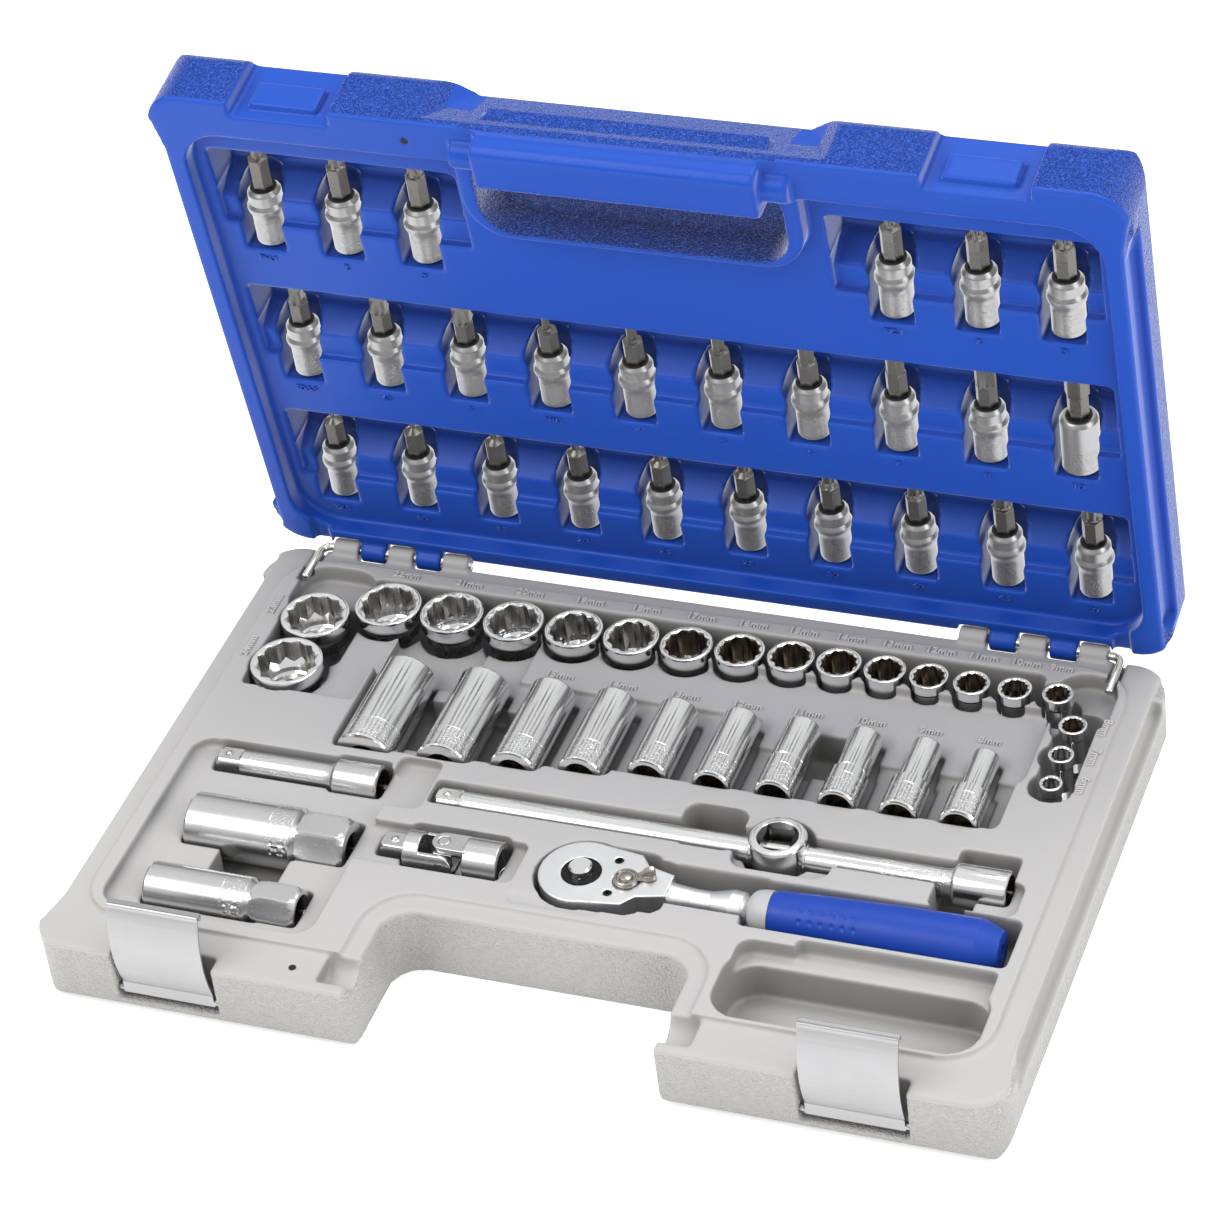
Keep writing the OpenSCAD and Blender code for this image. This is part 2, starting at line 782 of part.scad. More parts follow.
module joint_square_end() {
  color(chrome)
  translate([joint_x, joint_y, lie_z])
    rotate([0, 0, 180]) {
      intersection() {
        fork(17);
        translate([-20, 0, 0]) rotate([0, 90, 0]) cylinder(r = 8.6, h = 60);
      }
      translate([16, 0, 0]) mirror([1, 0, 0]) square_tip(12);
    }
}

// ---------- ratchet ----------

head_z = 22;
head_h = 15.5;
neck_x = 36;
lever_x = head_x + 20;
lever_y = ratchet_y - 1;
shank_x = neck_x + 4;

module ratchet_screw_places() {
  for (s = [-1, 1])
    translate([head_x + 14 - s * 0.8, ratchet_y + s * 9.7, head_z + head_h - 6])
      children();
}

module ratchet_body() {
  color(chrome)
  difference() {
    union() {
      translate([0, 0, head_z])
        linear_extrude(head_h) {
          translate([head_x, ratchet_y]) circle(head_r, $fn = 96);
          polygon([[head_x, ratchet_y - head_r], [head_x + 22, ratchet_y - 15],
            [neck_x - 4, ratchet_y - 9.5], [neck_x + 8, ratchet_y - 6.4],
            [neck_x + 8, ratchet_y + 6.4], [neck_x - 4, ratchet_y + 9.5],
            [head_x + 22, ratchet_y + 15], [head_x, ratchet_y + head_r]]);
        }
      translate([shank_x, ratchet_y, grip_z])
        rotate([0, 90, 0])
          rotate_extrude()
            polygon([[0, 0], [6.6, 0], [5.2, 14], [5.2, grip_x - shank_x - 26],
              [7.4, grip_x - shank_x - 17], [7, grip_x - shank_x - 12],
              [5, grip_x - shank_x - 9.5], [5, grip_x - shank_x + 50],
              [0, grip_x - shank_x + 50]]);
    }
    translate([head_x, ratchet_y, head_z - 1]) cylinder(r = 9.6, h = 10);
    translate([head_x, ratchet_y, head_z + 8]) cylinder(r = 8.3, h = 12);
    translate([lever_x, lever_y, head_z + head_h - 1]) cylinder(r = 5.8, h = 3);
    translate([lever_x, lever_y, head_z + head_h - 9]) cylinder(r = 2.55, h = 12);
    ratchet_screw_places() cylinder(r = 1.8, h = 8);
  }
}

// Black ring in the head around the button
module ratchet_ring() {
  color(black)
  translate([head_x, ratchet_y, head_z + head_h - 2.4])
    difference() {
      cylinder(r = 8.25, h = 2.6);
      translate([0, 0, -1]) cylinder(r = 5.2, h = 6);
    }
}

module ratchet_screws() {
  color(black)
  ratchet_screw_places()
    difference() {
      union() {
        cylinder(r = 1.2, h = 5);
        translate([0, 0, 4]) cylinder(r = 1.75, h = 1.9);
      }
      translate([0, 0, 4.9]) cylinder(r = 0.9, h = 2, $fn = 6);
    }
}

module reverse_lever() {
  color(satin)
  translate([lever_x, lever_y, head_z + head_h]) {
    translate([0, 0, -8.6]) cylinder(r = 2.5, h = 9);
    translate([0, 0, -0.6])
      rotate_extrude()
        polygon([[0, 0], [5.3, 0], [5.3, 1.8], [4.4, 2.8], [3.6, 2.8], [3.2, 2.3], [0, 2.3]]);
    rotate([0, 0, 24]) {
      translate([3, -2, 0.3]) cube([4.6, 4, 2]);
      translate([7.2, -2.6, 0.5]) cube([5, 5.2, 3.6]);
    }
  }
}

module drive_gear() {
  color(satin)
  translate([head_x, ratchet_y, 0])
    difference() {
      union() {
        translate([0, 0, head_z + 0.2]) cylinder(r = 9.5, h = 7.5);
        translate([0, 0, head_z + 7]) cylinder(r = 5.1, h = head_h - 9.8);
        translate([-drive / 2, -drive / 2, head_z - 10.4]) cube([drive, drive, 11]);
        translate([drive / 2 - 0.9, 0, head_z - 5.6]) sphere(1.9);
      }
      translate([0, 0, head_z + 2]) cylinder(r = 2.3, h = 30);
    }
}

module release_button() {
  color(chrome)
  translate([head_x, ratchet_y, 0]) {
    translate([0, 0, head_z + 5]) cylinder(r = 2.2, h = head_h - 4);
    translate([0, 0, head_z + head_h + 0.4])
      rotate_extrude()
        polygon([[0, 0], [4.9, 0], [4.9, 2.6], [4.2, 3.4], [0, 3.4]]);
  }
}

module grip_collar() {
  color(grey)
  translate([grip_x - 9, ratchet_y, grip_z])
    rotate([0, 90, 0])
      difference() {
        rotate_extrude()
          polygon([[0, 0], [7.6, 0], [9.2, 2.4], [9.6, 8.9], [0, 8.9]]);
        translate([0, 0, -1]) cylinder(r = 5.3, h = 12);
      }
}

module grip() {
  color(blue)
  translate([grip_x, ratchet_y, grip_z])
    rotate([0, 90, 0])
      difference() {
        rotate_extrude($fn = 64)
          polygon([[0, 0], [9.6, 0], [10.2, 8], [10.9, 20], [11.3, 36], [11.8, 56], [12, 78],
            [12, grip_len - 9], [8.6, grip_len], [0, grip_len]]);
        translate([0, 0, -1]) cylinder(r = 5.03, h = 54);
      }
}

// ---------- bits in the lid ----------

// Places a bit with its drive end at distance v from the hinge, tip away from the hinge
module bit_place(x, v) {
  swing()
    translate([x, hinge_y - v, lid_z + bit_depth])
      rotate([90 - bit_tilt, 0, 0])
        children();
}

module sleeve(straight) {
  r = 8.2;
  difference() {
    rotate_extrude()
      polygon(straight
        ? [[0, 0], [r - 0.6, 0], [r, 0.6], [r, sleeve_len - 2], [r - 1.4, sleeve_len],
            [0, sleeve_len]]
        : [[0, 0], [r - 1.4, 0], [r - 0.8, 0.6], [r - 0.8, 14.5], [r, 17.5], [r + 0.2, 20],
            [r - 0.8, 23.4], [r - 0.9, sleeve_len - 0.8], [r - 1.5, sleeve_len], [0, sleeve_len]]);
    translate([-drive / 2, -drive / 2, -1]) cube([drive, drive, 10.5]);
    translate([0, 0, 12]) cylinder(r = 4.7, h = 20, $fn = 6);
  }
}

module bit_sleeves() {
  color(satin) {
    for (i = [0:9]) {
      bit_place(col(i), row_end[1]) sleeve(i == 9);
      bit_place(col(i), row_end[2]) sleeve(false);
    }
    for (i = [0:5])
      bit_place(top_col(i), row_end[0]) sleeve(false);
  }
}

// Hexagonal bit shank with a plain tip of radius r
module shank(a, len) {
  translate([0, 0, 12.1]) cylinder(r = a, h = len - 12.1, $fn = 6);
}

module cross_tip(r, extra) {
  shank(4.62, bit_len - 9);
  translate([0, 0, bit_len - 9.1]) cylinder(r1 = 4.2, r2 = r, h = 4.1);
  difference() {
    translate([0, 0, bit_len - 5.1]) cylinder(r1 = r, r2 = r * 0.35, h = 5.1);
    for (a = [45:90:315])
      rotate([0, 0, a]) translate([r * 0.42, r * 0.42, bit_len - 5]) cube([9, 9, 9]);
  }
  if (extra)
    for (a = [0:90:270])
      rotate([0, 0, a])
        translate([r * 0.2, r * 0.2, bit_len - 4]) cube([r * 0.22, r * 0.22, 3.2]);
}

module phillips_bits() {
  color(steel)
    for (i = [0:2])
      bit_place(top_col(i), row_end[0]) cross_tip(2.2 + i * 0.5, false);
}

module pozidriv_bits() {
  color(steel)
    for (i = [3:5])
      bit_place(top_col(i), row_end[0]) cross_tip(0.7 + i * 0.5, true);
}

module slotted_bits() {
  color(steel)
    for (i = [0:2])
      bit_place(col(i), row_end[1]) {
        shank(4.62, bit_len - 12);
        rotate([90, 0, 0])
          translate([0, 0, -2.75 - i * 0.6])
            linear_extrude(5.5 + i * 1.2)
              polygon([[-3.4, bit_len - 13], [3.4, bit_len - 13], [3, bit_len - 9], [0.6, bit_len],
                [-0.6, bit_len], [-3, bit_len - 9]]);
      }
}

HEX = [3, 4, 5, 6, 7, 8, 9.2];

module hex_bits() {
  color(steel)
    for (i = [0:6])
      bit_place(col(i + 3), row_end[1]) {
        shank(4.62, bit_len - 11);
        translate([0, 0, bit_len - 14]) cylinder(r = HEX[i] / sqrt(3), h = 13.2, $fn = 6);
        translate([0, 0, bit_len - 0.81])
          cylinder(r = HEX[i] / sqrt(3) - 0.5, h = 0.8, $fn = 6);
      }
}

TX = [2.3, 2.7, 3.3, 3.9, 4.4, 5, 5.5, 6.6, 7.8, 8.8];

module torx_bits() {
  color(steel)
    for (i = [0:9])
      bit_place(col(i), row_end[2]) {
        shank(4.62, bit_len - 10);
        translate([0, 0, bit_len - 10.1]) cylinder(r1 = 4.2, r2 = TX[i] * 0.46, h = 4);
        translate([0, 0, bit_len - 10])
          for (a = [0, 30])
            rotate([0, 0, a]) cylinder(r = TX[i] / 2, h = 9.6, $fn = 6);
      }
}

module socket_6() { upright(6); }
module socket_7() { upright(7); }
module socket_8() { upright(8); }
module socket_9() { upright(9); }
module socket_10() { upright(10); }
module socket_11() { upright(11); }
module socket_12() { upright(12); }
module socket_13() { upright(13); }
module socket_14() { upright(14); }
module socket_15() { upright(15); }
module socket_16() { upright(16); }
module socket_17() { upright(17); }
module socket_18() { upright(18); }
module socket_19() { upright(19); }
module socket_20() { upright(20); }
module socket_21() { upright(21); }
module socket_22() { upright(22); }
module socket_23() { upright(23); }
module socket_24() { upright(24); }
module deep_socket_8() { deep(8); }
module deep_socket_9() { deep(9); }
module deep_socket_10() { deep(10); }
module deep_socket_11() { deep(11); }
module deep_socket_12() { deep(12); }
module deep_socket_13() { deep(13); }
module deep_socket_14() { deep(14); }
module deep_socket_15() { deep(15); }
module deep_socket_17() { deep(17); }
module deep_socket_19() { deep(19); }

base_case();
lid_case();
hinge_pin_left();
hinge_pin_right();
latch_left();
latch_right();
ratchet_body();
ratchet_ring();
ratchet_screws();
reverse_lever();
drive_gear();
release_button();
grip_collar();
grip();
long_extension();
slide_head();
short_extension();
joint_socket_end();
joint_cross();
joint_square_end();
spark_socket_21();
spark_socket_16();
socket_6();
socket_7();
socket_8();
socket_9();
socket_10();
socket_11();
socket_12();
socket_13();
socket_14();
socket_15();
socket_16();
socket_17();
socket_18();
socket_19();
socket_20();
socket_21();
socket_22();
socket_23();
socket_24();
deep_socket_8();
deep_socket_9();
deep_socket_10();
deep_socket_11();
deep_socket_12();
deep_socket_13();
deep_socket_14();
deep_socket_15();
deep_socket_17();
deep_socket_19();
bit_sleeves();
phillips_bits();
pozidriv_bits();
slotted_bits();
hex_bits();
torx_bits();
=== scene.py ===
import json
import math

import bmesh
import bpy
from mathutils import Matrix, Vector


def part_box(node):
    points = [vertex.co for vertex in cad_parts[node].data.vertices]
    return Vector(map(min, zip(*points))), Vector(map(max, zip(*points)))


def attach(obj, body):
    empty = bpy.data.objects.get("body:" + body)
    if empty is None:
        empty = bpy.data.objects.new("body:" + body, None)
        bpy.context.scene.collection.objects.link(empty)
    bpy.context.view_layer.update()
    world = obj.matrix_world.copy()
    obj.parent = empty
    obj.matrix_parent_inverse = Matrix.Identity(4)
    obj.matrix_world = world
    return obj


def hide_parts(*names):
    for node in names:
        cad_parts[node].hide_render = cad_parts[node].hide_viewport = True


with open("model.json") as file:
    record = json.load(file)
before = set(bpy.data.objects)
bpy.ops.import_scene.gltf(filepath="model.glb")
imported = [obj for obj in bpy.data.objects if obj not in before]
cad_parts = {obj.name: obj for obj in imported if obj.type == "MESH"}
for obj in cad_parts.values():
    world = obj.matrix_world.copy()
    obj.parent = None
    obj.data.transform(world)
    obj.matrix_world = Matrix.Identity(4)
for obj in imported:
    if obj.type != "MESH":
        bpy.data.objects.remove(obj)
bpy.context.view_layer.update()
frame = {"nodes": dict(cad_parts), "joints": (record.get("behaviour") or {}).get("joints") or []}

scene = bpy.context.scene
NODES = frame["nodes"]
JOINTS = {j["name"]: j for j in frame["joints"]}
MM = 0.001


# ---------- materials ----------


def new_material(name):
    m = bpy.data.materials.new(name)
    m.use_nodes = True
    t = m.node_tree
    t.nodes.clear()
    out = t.nodes.new("ShaderNodeOutputMaterial")
    p = t.nodes.new("ShaderNodeBsdfPrincipled")
    t.links.new(p.outputs[0], out.inputs[0])
    return m, t, p


def node(t, kind, **values):
    n = t.nodes.new("ShaderNode" + kind)
    for k, v in values.items():
        if k in n.inputs:
            n.inputs[k].default_value = v
        else:
            setattr(n, k, v)
    return n


def coords(t, scale=(1, 1, 1)):
    c = node(t, "TexCoord")
    m = node(t, "Mapping")
    m.inputs["Scale"].default_value = scale
    t.links.new(c.outputs["Object"], m.inputs[0])
    return m.outputs[0]


def ramp(t, source, stops):
    r = node(t, "ValToRGB")
    e = r.color_ramp.elements
    while len(e) < len(stops):
        e.new(0.5)
    for k, (at, c) in enumerate(stops):
        e[k].position = at
        e[k].color = (*c, 1) if isinstance(c, tuple) else (c, c, c, 1)
    t.links.new(source, r.inputs[0])
    return r.outputs[0]


def bump(t, p, height, strength, distance, before=None):
    b = node(t, "Bump")
    b.inputs["Strength"].default_value = strength
    b.inputs["Distance"].default_value = distance
    t.links.new(height, b.inputs["Height"])
    if before is not None:
        t.links.new(before, b.inputs["Normal"])
    t.links.new(b.outputs[0], p.inputs["Normal"])
    return b.outputs[0]


def noise(t, vector, scale, detail=3.0, rough=0.5):
    n = node(t, "TexNoise")
    n.inputs["Scale"].default_value = scale
    n.inputs["Detail"].default_value = detail
    n.inputs["Roughness"].default_value = rough
    t.links.new(vector, n.inputs["Vector"])
    return n.outputs["Fac"]


def pebbles(t, v, scale):
    """Height of a moulded leather grain: rounded cells of uneven size."""
    n = node(t, "TexNoise")
    n.inputs["Scale"].default_value = scale * 0.55
    t.links.new(v, n.inputs["Vector"])
    small = node(t, "VectorMath", operation="SCALE")
    small.inputs["Scale"].default_value = 1.1 / scale
    t.links.new(n.outputs["Color"], small.inputs[0])
    moved = node(t, "VectorMath", operation="ADD")
    t.links.new(v, moved.inputs[0])
    t.links.new(small.outputs[0], moved.inputs[1])
    cell = node(t, "TexVoronoi")
    cell.feature = "SMOOTH_F1"
    cell.inputs["Scale"].default_value = scale
    cell.inputs["Smoothness"].default_value = 0.5
    t.links.new(moved.outputs[0], cell.inputs["Vector"])
    return cell.outputs["Distance"]


def painted_pocket_shade(t, colour, deep, reach=0.06):
    """Painted shade: darkens a colour by ambient occlusion inside pockets and corners, down to the
    share 'deep'.
    """
    ao = node(t, "AmbientOcclusion", samples=6)
    ao.inputs["Distance"].default_value = reach
    mix = node(t, "Mix", data_type="RGBA", blend_type="MULTIPLY")
    mix.inputs[0].default_value = 1
    t.links.new(colour, mix.inputs[6])
    t.links.new(ramp(t, ao.outputs["AO"], [(0.2, deep), (0.8, 1.0)]), mix.inputs[7])
    return mix.outputs[2]


def plastic(name, colour, rough, grain, deep=1.0, shine=0.32):
    """Moulded plastic: smooth satin, or with a pebble grain where grain is above 0, its colour
    darkened by painted shade in pockets down to the share 'deep'.
    """
    m, t, p = new_material(name)
    v = coords(t)
    dark = tuple(c * 0.955 for c in colour)
    tone = ramp(t, noise(t, v, 9, 2), [(0.35, dark), (0.65, colour)])
    # painted shade: the base colour is multiplied down by ambient occlusion in pockets and corners
    t.links.new(painted_pocket_shade(t, tone, deep), p.inputs["Base Color"])
    fine = noise(t, v, 900, 3)
    t.links.new(
        ramp(t, fine, [(0.3, rough - 0.05), (0.7, rough + 0.05)]), p.inputs["Roughness"]
    )
    p.inputs["Specular IOR Level"].default_value = shine
    first = bump(t, p, noise(t, v, 60, 3), 0.06, 0.002)
    skin = bump(t, p, fine, 0.05, 0.0002, first)
    if grain:
        bump(t, p, pebbles(t, v, GRAIN_SCALE), grain, -0.0011, skin)
    return m


def metal(name, colour, rough, spread, brush=(1, 1, 1), scratch=0.15, dark=0.93, marks=0.0):
    """Polished or satin metal with fine lines, and stamped marks where 'mark' is above 0."""
    m, t, p = new_material(name)
    p.inputs["Metallic"].default_value = 1
    fine = noise(t, coords(t, brush), 700, 4, 0.6)
    tone = noise(t, coords(t), 45, 2)
    low = tuple(c * dark for c in colour)
    t.links.new(ramp(t, tone, [(0.3, low), (0.7, colour)]), p.inputs["Base Color"])
    t.links.new(
        ramp(t, fine, [(0.3, max(rough - spread, 0.02)), (0.72, rough + spread)]),
        p.inputs["Roughness"],
    )
    first = bump(t, p, fine, scratch, 0.000006)
    if marks:
        at = node(t, "Attribute")
        at.attribute_name = "mark"
        pits = ramp(t, pebbles(t, coords(t), 950), [(0.30, 0.0), (0.42, 1.0)])
        both = node(t, "Math", operation="MULTIPLY")
        t.links.new(pits, both.inputs[0])
        t.links.new(at.outputs["Fac"], both.inputs[1])
        bump(t, p, both.outputs[0], marks, -0.00012, first)
    return m


GRAIN_SCALE = 1050
GREY = (0.525, 0.512, 0.495)
BLUE = (0.010, 0.078, 0.50)
# the fifth number of a plastic, where given, is 'deep': the share of its colour that the painted shade
# leaves in the deepest pockets
M = {
    "base_smooth": plastic("base_smooth", GREY, 0.42, 0, 0.5),
    "base_grain": plastic("base_grain", GREY, 0.40, 0.8, 0.7),
    # painted light: the raised letters are the tray grey made 15% lighter and kept free of painted
    # shade, so they look lit
    "label": plastic("label_grey_painted_light", tuple(c * 1.15 for c in GREY), 0.42, 0),
    "lid_smooth": plastic("lid_smooth", BLUE, 0.38, 0, 0.55, 0.26),
    "lid_grain": plastic("lid_grain", BLUE, 0.24, 1.4, 0.7, 0.5),
    "chrome": metal("tool_chrome", (0.84, 0.845, 0.85), 0.13, 0.03, scratch=0.06, marks=0.7),
    "inside": metal("socket_inside", (0.50, 0.48, 0.46), 0.30, 0.10, (1, 1, 0.04), 0.8, 0.55),
    "bronze": metal("socket_inside_dark", (0.34, 0.29, 0.24), 0.30, 0.10, (1, 1, 0.04), 0.8, 0.5),
    "satin": metal("satin_chrome", (0.66, 0.66, 0.665), 0.25, 0.03, scratch=0.05, marks=0.7),
    "sleeve": metal("sleeve_chrome", (0.40, 0.40, 0.405), 0.33, 0.03, scratch=0.05, marks=0.8),
    # painted shade: near-black colour for the inside of the slide head's square hole
    "painted_hole_shade": metal("square_hole_painted_shade", (0.10, 0.097, 0.093), 0.34, 0.05),
    "matt": metal("matt_chrome", (0.83, 0.84, 0.86), 0.36, 0.05),
    "gunmetal": metal("gunmetal", (0.40, 0.37, 0.34), 0.25, 0.06),
    "steel": metal("bit_steel", (0.17, 0.165, 0.155), 0.34, 0.05, scratch=0.08, marks=0.5),
    "black": metal("black_steel", (0.03, 0.03, 0.03), 0.35, 0.06),
    "latch": metal("latch_metal", (0.46, 0.46, 0.465), 0.38, 0.06, (0.03, 1, 1), 2.0),
    "wire": metal("wire_steel", (0.72, 0.71, 0.69), 0.20, 0.05),
    "copper": metal("detent_ring", (0.62, 0.42, 0.30), 0.30, 0.06),
    "grip": plastic("grip_blue", (0.012, 0.060, 0.42), 0.40, 0),
    "collar": plastic("collar_grey", (0.52, 0.52, 0.53), 0.35, 0),
    # near-black: the dark ring where each bit leaves its sleeve, and the painted shade disc in the air
    # hole's mouth
    "dark_ring_and_hole_shade": plastic("dark_bit_ring_and_hole_shade", (0.012, 0.012, 0.012), 0.5, 0),
}

NODE_MATERIAL = {
    "hinge_pin": "wire",
    "latch": "latch",
    "ratchet_ring": "black",
    "ratchet_screws": "black",
    "reverse_lever": "gunmetal",
    "drive_gear": "satin",
    "grip_collar": "collar",
    "grip": "grip",
    "joint_cross": "satin",
    "bit_sleeves": "sleeve",
    "phillips": "steel",
    "pozidriv": "steel",
    "slotted": "steel",
    "hex_bits": "steel",
    "torx": "steel",
}


def put_material(obj, *materials):
    """Gives the object these materials and keeps which face has which."""
    index = [0] * len(obj.data.polygons)
    obj.data.polygons.foreach_get("material_index", index)
    obj.data.materials.clear()
    for m in materials:
        obj.data.materials.append(m)
    obj.data.polygons.foreach_set("material_index", index)


def by_angle(me, degrees=30):
    """Smooth shading with sharp edges where faces meet at more than this angle."""
    me.polygons.foreach_set("use_smooth", [True] * len(me.polygons))
    me.set_sharp_from_angle(angle=math.radians(degrees))


for n, o in NODES.items():
    key = next((k for k in sorted(NODE_MATERIAL, key=len, reverse=True) if n.startswith(k)), None)
    put_material(o, M[NODE_MATERIAL[key]] if key else M["chrome"])


# ---------- turned shapes ----------


def hexagon(across, turn=0.0):
    return lambda a: across / 2 / math.cos((a + turn) % (math.pi / 3) - math.pi / 6)


def twelve(across):
    one, two = hexagon(across), hexagon(across, math.pi / 6)
    return lambda a: max(one(a), two(a))


def square(across, cap, turn=0.0):
    half = math.pi / 2
    return lambda a: min(cap, across / 2 / math.cos((a + turn + half / 2) % half - half / 2))


def smaller(shape, cap):
    return lambda a: min(shape(a), cap)


class Build:
    """Collects verts, faces and material numbers of one piece, in millimetres."""

    def __init__(self):
        self.verts, self.faces, self.slots, self.marks = [], [], [], []

    def add(self, verts, faces, slot=0, matrix=None, marks=None):
        first = len(self.verts)
        for v in verts:
            v = Vector(v)
            self.verts.append(matrix @ v if matrix is not None else v)
        for f in faces:
            self.faces.append([first + k for k in f])
        self.slots += [slot] * len(faces) if isinstance(slot, int) else slot
        self.marks += marks if marks else [0.0] * len(verts)

    def turned(self, rings, count=72, closed=False, matrix=None, band=None):
        """Rings of (height, radius or function of the angle, material number)."""
        verts, faces, slots, marks = [], [], [], []
        for z, r, *_ in rings:
            for k in range(count):
                a = 2 * math.pi * k / count
                q = r(a) if callable(r) else r
                verts.append((q * math.cos(a), q * math.sin(a), z))
                marks.append(band(z, a) if band else 0.0)
        n = len(rings)
        for i in range(n if closed else n - 1):
            j = (i + 1) % n
            for k in range(count):
                m = (k + 1) % count
                faces.append((i * count + k, i * count + m, j * count + m, j * count + k))
                slots.append(rings[i][2] if len(rings[i]) > 2 else 0)
        self.add(verts, faces, slots, matrix, marks)

    def ball(self, centre, r, slot=0, squash=1.0):
        rings = []
        for k in range(13):
            a = math.pi * k / 12
            rings.append((-r * squash * math.cos(a), r * math.sin(a), slot))
        self.turned(rings, 24, matrix=Matrix.Translation(centre))

    def piece(self, name, body, materials, replaces=None, angle=30, scale=MM):
        me = bpy.data.meshes.new(name)
        me.from_pydata([v * scale for v in self.verts], [], self.faces)
        me.polygons.foreach_set("material_index", self.slots)
        at = me.attributes.new("mark", "FLOAT", "POINT")
        at.data.foreach_set("value", self.marks)
        bm = bmesh.new()
        bm.from_mesh(me)
        bmesh.ops.remove_doubles(bm, verts=bm.verts, dist=2e-6)
        bmesh.ops.recalc_face_normals(bm, faces=bm.faces)
        bm.to_mesh(me)
        bm.free()
        obj = bpy.data.objects.new(name, me)
        scene.collection.objects.link(obj)
        put_material(obj, *materials)
        by_angle(me, angle)
        finish_piece(obj, body, replaces)
        return obj


def finish_piece(obj, body, replaces=None):
    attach(obj, body)
    for n in [replaces] if isinstance(replaces, str) else replaces or []:
        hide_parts(n)


def box_mm(name):
    lo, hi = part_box(name)
    return Vector(lo) / MM, Vector(hi) / MM


def along(axis, origin):
    """Matrix that lays local +Z along a world axis: 'x', '-x' or 'y'."""
    turn = {
        "x": Matrix.Rotation(math.pi / 2, 4, "Y"),
        "-x": Matrix.Rotation(-math.pi / 2, 4, "Y"),
        "y": Matrix.Rotation(-math.pi / 2, 4, "X"),
    }[axis]
    return Matrix.Translation(origin) @ turn


DRIVE = 9.5
DRIVE_END = 17.0
NOSE = {
    6: 9.8, 7: 11, 8: 12.2, 9: 13.5, 10: 14.8, 11: 16, 12: 17, 13: 18.4, 14: 19.8, 15: 21,
    16: 22.3, 17: 23.6, 18: 25, 19: 26, 20: 27.4, 21: 28.6, 22: 30, 23: 31, 24: 32.4,
}


def socket_rings(size, od, outline, length, depth):
    """Closed profile of a socket: drive hole, outside, rim, twelve flutes, floor."""
    star = twelve(size + 0.2)
    throat = min(size * 0.4, 5.6)
    edge = 0.45 if od < 20 else 0.8
    lip = min(size * 0.577 + 0.45, od / 2 - edge - 0.25)
    hole = square(DRIVE, DRIVE * 0.66)
    return [
        (10.5, min(4.6, throat), 1),
        (10.5, hole, 1),
        (1.7, hole, 0),
        (0.0, DRIVE * 0.71, 0),
        *outline,
        (length - edge - 0.3, od / 2, 0),
        (length - edge, od / 2, 0),
        (length - edge * 0.3, od / 2 - edge * 0.3, 0),
        (length, od / 2 - edge, 0),
        (length, lip, 0),
        (length - 0.35, smaller(star, lip - 0.12), 0),
        (length - 1.3, star, 1),
        (length - depth, star, 0),
        (length - depth - 0.4, throat, 1),
    ]


def upright_socket(size):
    """Socket standing in the trough: wide ones narrow to the drive end, small ones to a waist."""
    name = f"socket_{size}"
    lo, hi = box_mm(name)
    od, length = NOSE[size], hi.z - lo.z
    if od > 17.5:
        de = min(21.5, 16.6 + (od - 17) * 0.36) / 2
        r = od / 2
        outline = [
            (0.0, de - 0.8, 0), (0.8, de, 0), (length - 18, de, 0), (length - 13, de + 0.4, 0),
            (length - 9.5, r - (r - de) * 0.45, 0), (length - 7, r - 0.5, 0),
            (length - 5.2, r, 0), (length - 3, r, 0),
        ]
    else:
        r, de = od / 2, DRIVE_END / 2
        waist = r - 0.7
        outline = [
            (0.0, de - 0.8, 0), (0.8, de, 0), (length - 19.5, de, 0), (length - 17, waist + 0.5, 0),
            (length - 15.5, waist, 0), (length - 6, waist, 0), (length - 4.6, r, 0),
        ]
    b = Build()
    place = Matrix.Translation(((lo.x + hi.x) / 2, (lo.y + hi.y) / 2, lo.z))
    rings = socket_rings(size, od, outline, length, min(15, 6 + size * 0.5))
    b.turned(rings, 96, closed=True, matrix=place)
    inside = M["inside"] if size > 17 or size < 8 else M["bronze"]
    b.piece(name + "_shape", name, [M["chrome"], inside], name, 24)


def deep_socket(size):
    """Deep socket lying along y, its drive end to the front and stamped there."""
    name = f"deep_socket_{size}"
    lo, hi = box_mm(name)
    od, length = NOSE[size], hi.y - lo.y
    r, de = od / 2, max(od, DRIVE_END) / 2
    stamp = [(z, de, 0) for z in (1.7, 2.0, 12.8, 13.1)]
    outline = [(0.0, de - 0.9, 0), (0.25, de - 0.35, 0), (0.9, de, 0)]
    if od < DRIVE_END - 0.1:
        step = length * 0.43
        outline += [*stamp, (step - 0.5, de, 0), (step, de - 0.5, 0), (step + 0.15, r - 0.35, 0),
                    (step + 0.9, r - 0.35, 0), (step + 1.3, r, 0)]
    else:
        outline += stamp
    mid = (lo + hi) / 2
    matrix = along("y", (mid.x, lo.y, mid.z))

    def band(z, a):
        return 1.0 if 1.8 < z < 13 and math.sin(a) < 0.2 else 0.0

    rings = socket_rings(size, od, outline, length, length * 0.6)
    b = Build()
    b.turned(rings, 96, closed=True, matrix=matrix, band=band)
    b.piece(name + "_shape", name, [M["chrome"], M["bronze"]], name, 24)


def stamped_dimples(points, r, depth):
    """Little round dents for a turned surface: returns how deep it is at (arc length, height)."""

    def dent(s, z):
        total = 0.0
        for ps, pz in points:
            d = math.hypot(s - ps, z - pz)
            if d < r:
                total = max(total, depth * (1 - (d / r) ** 2))
        return total

    return dent


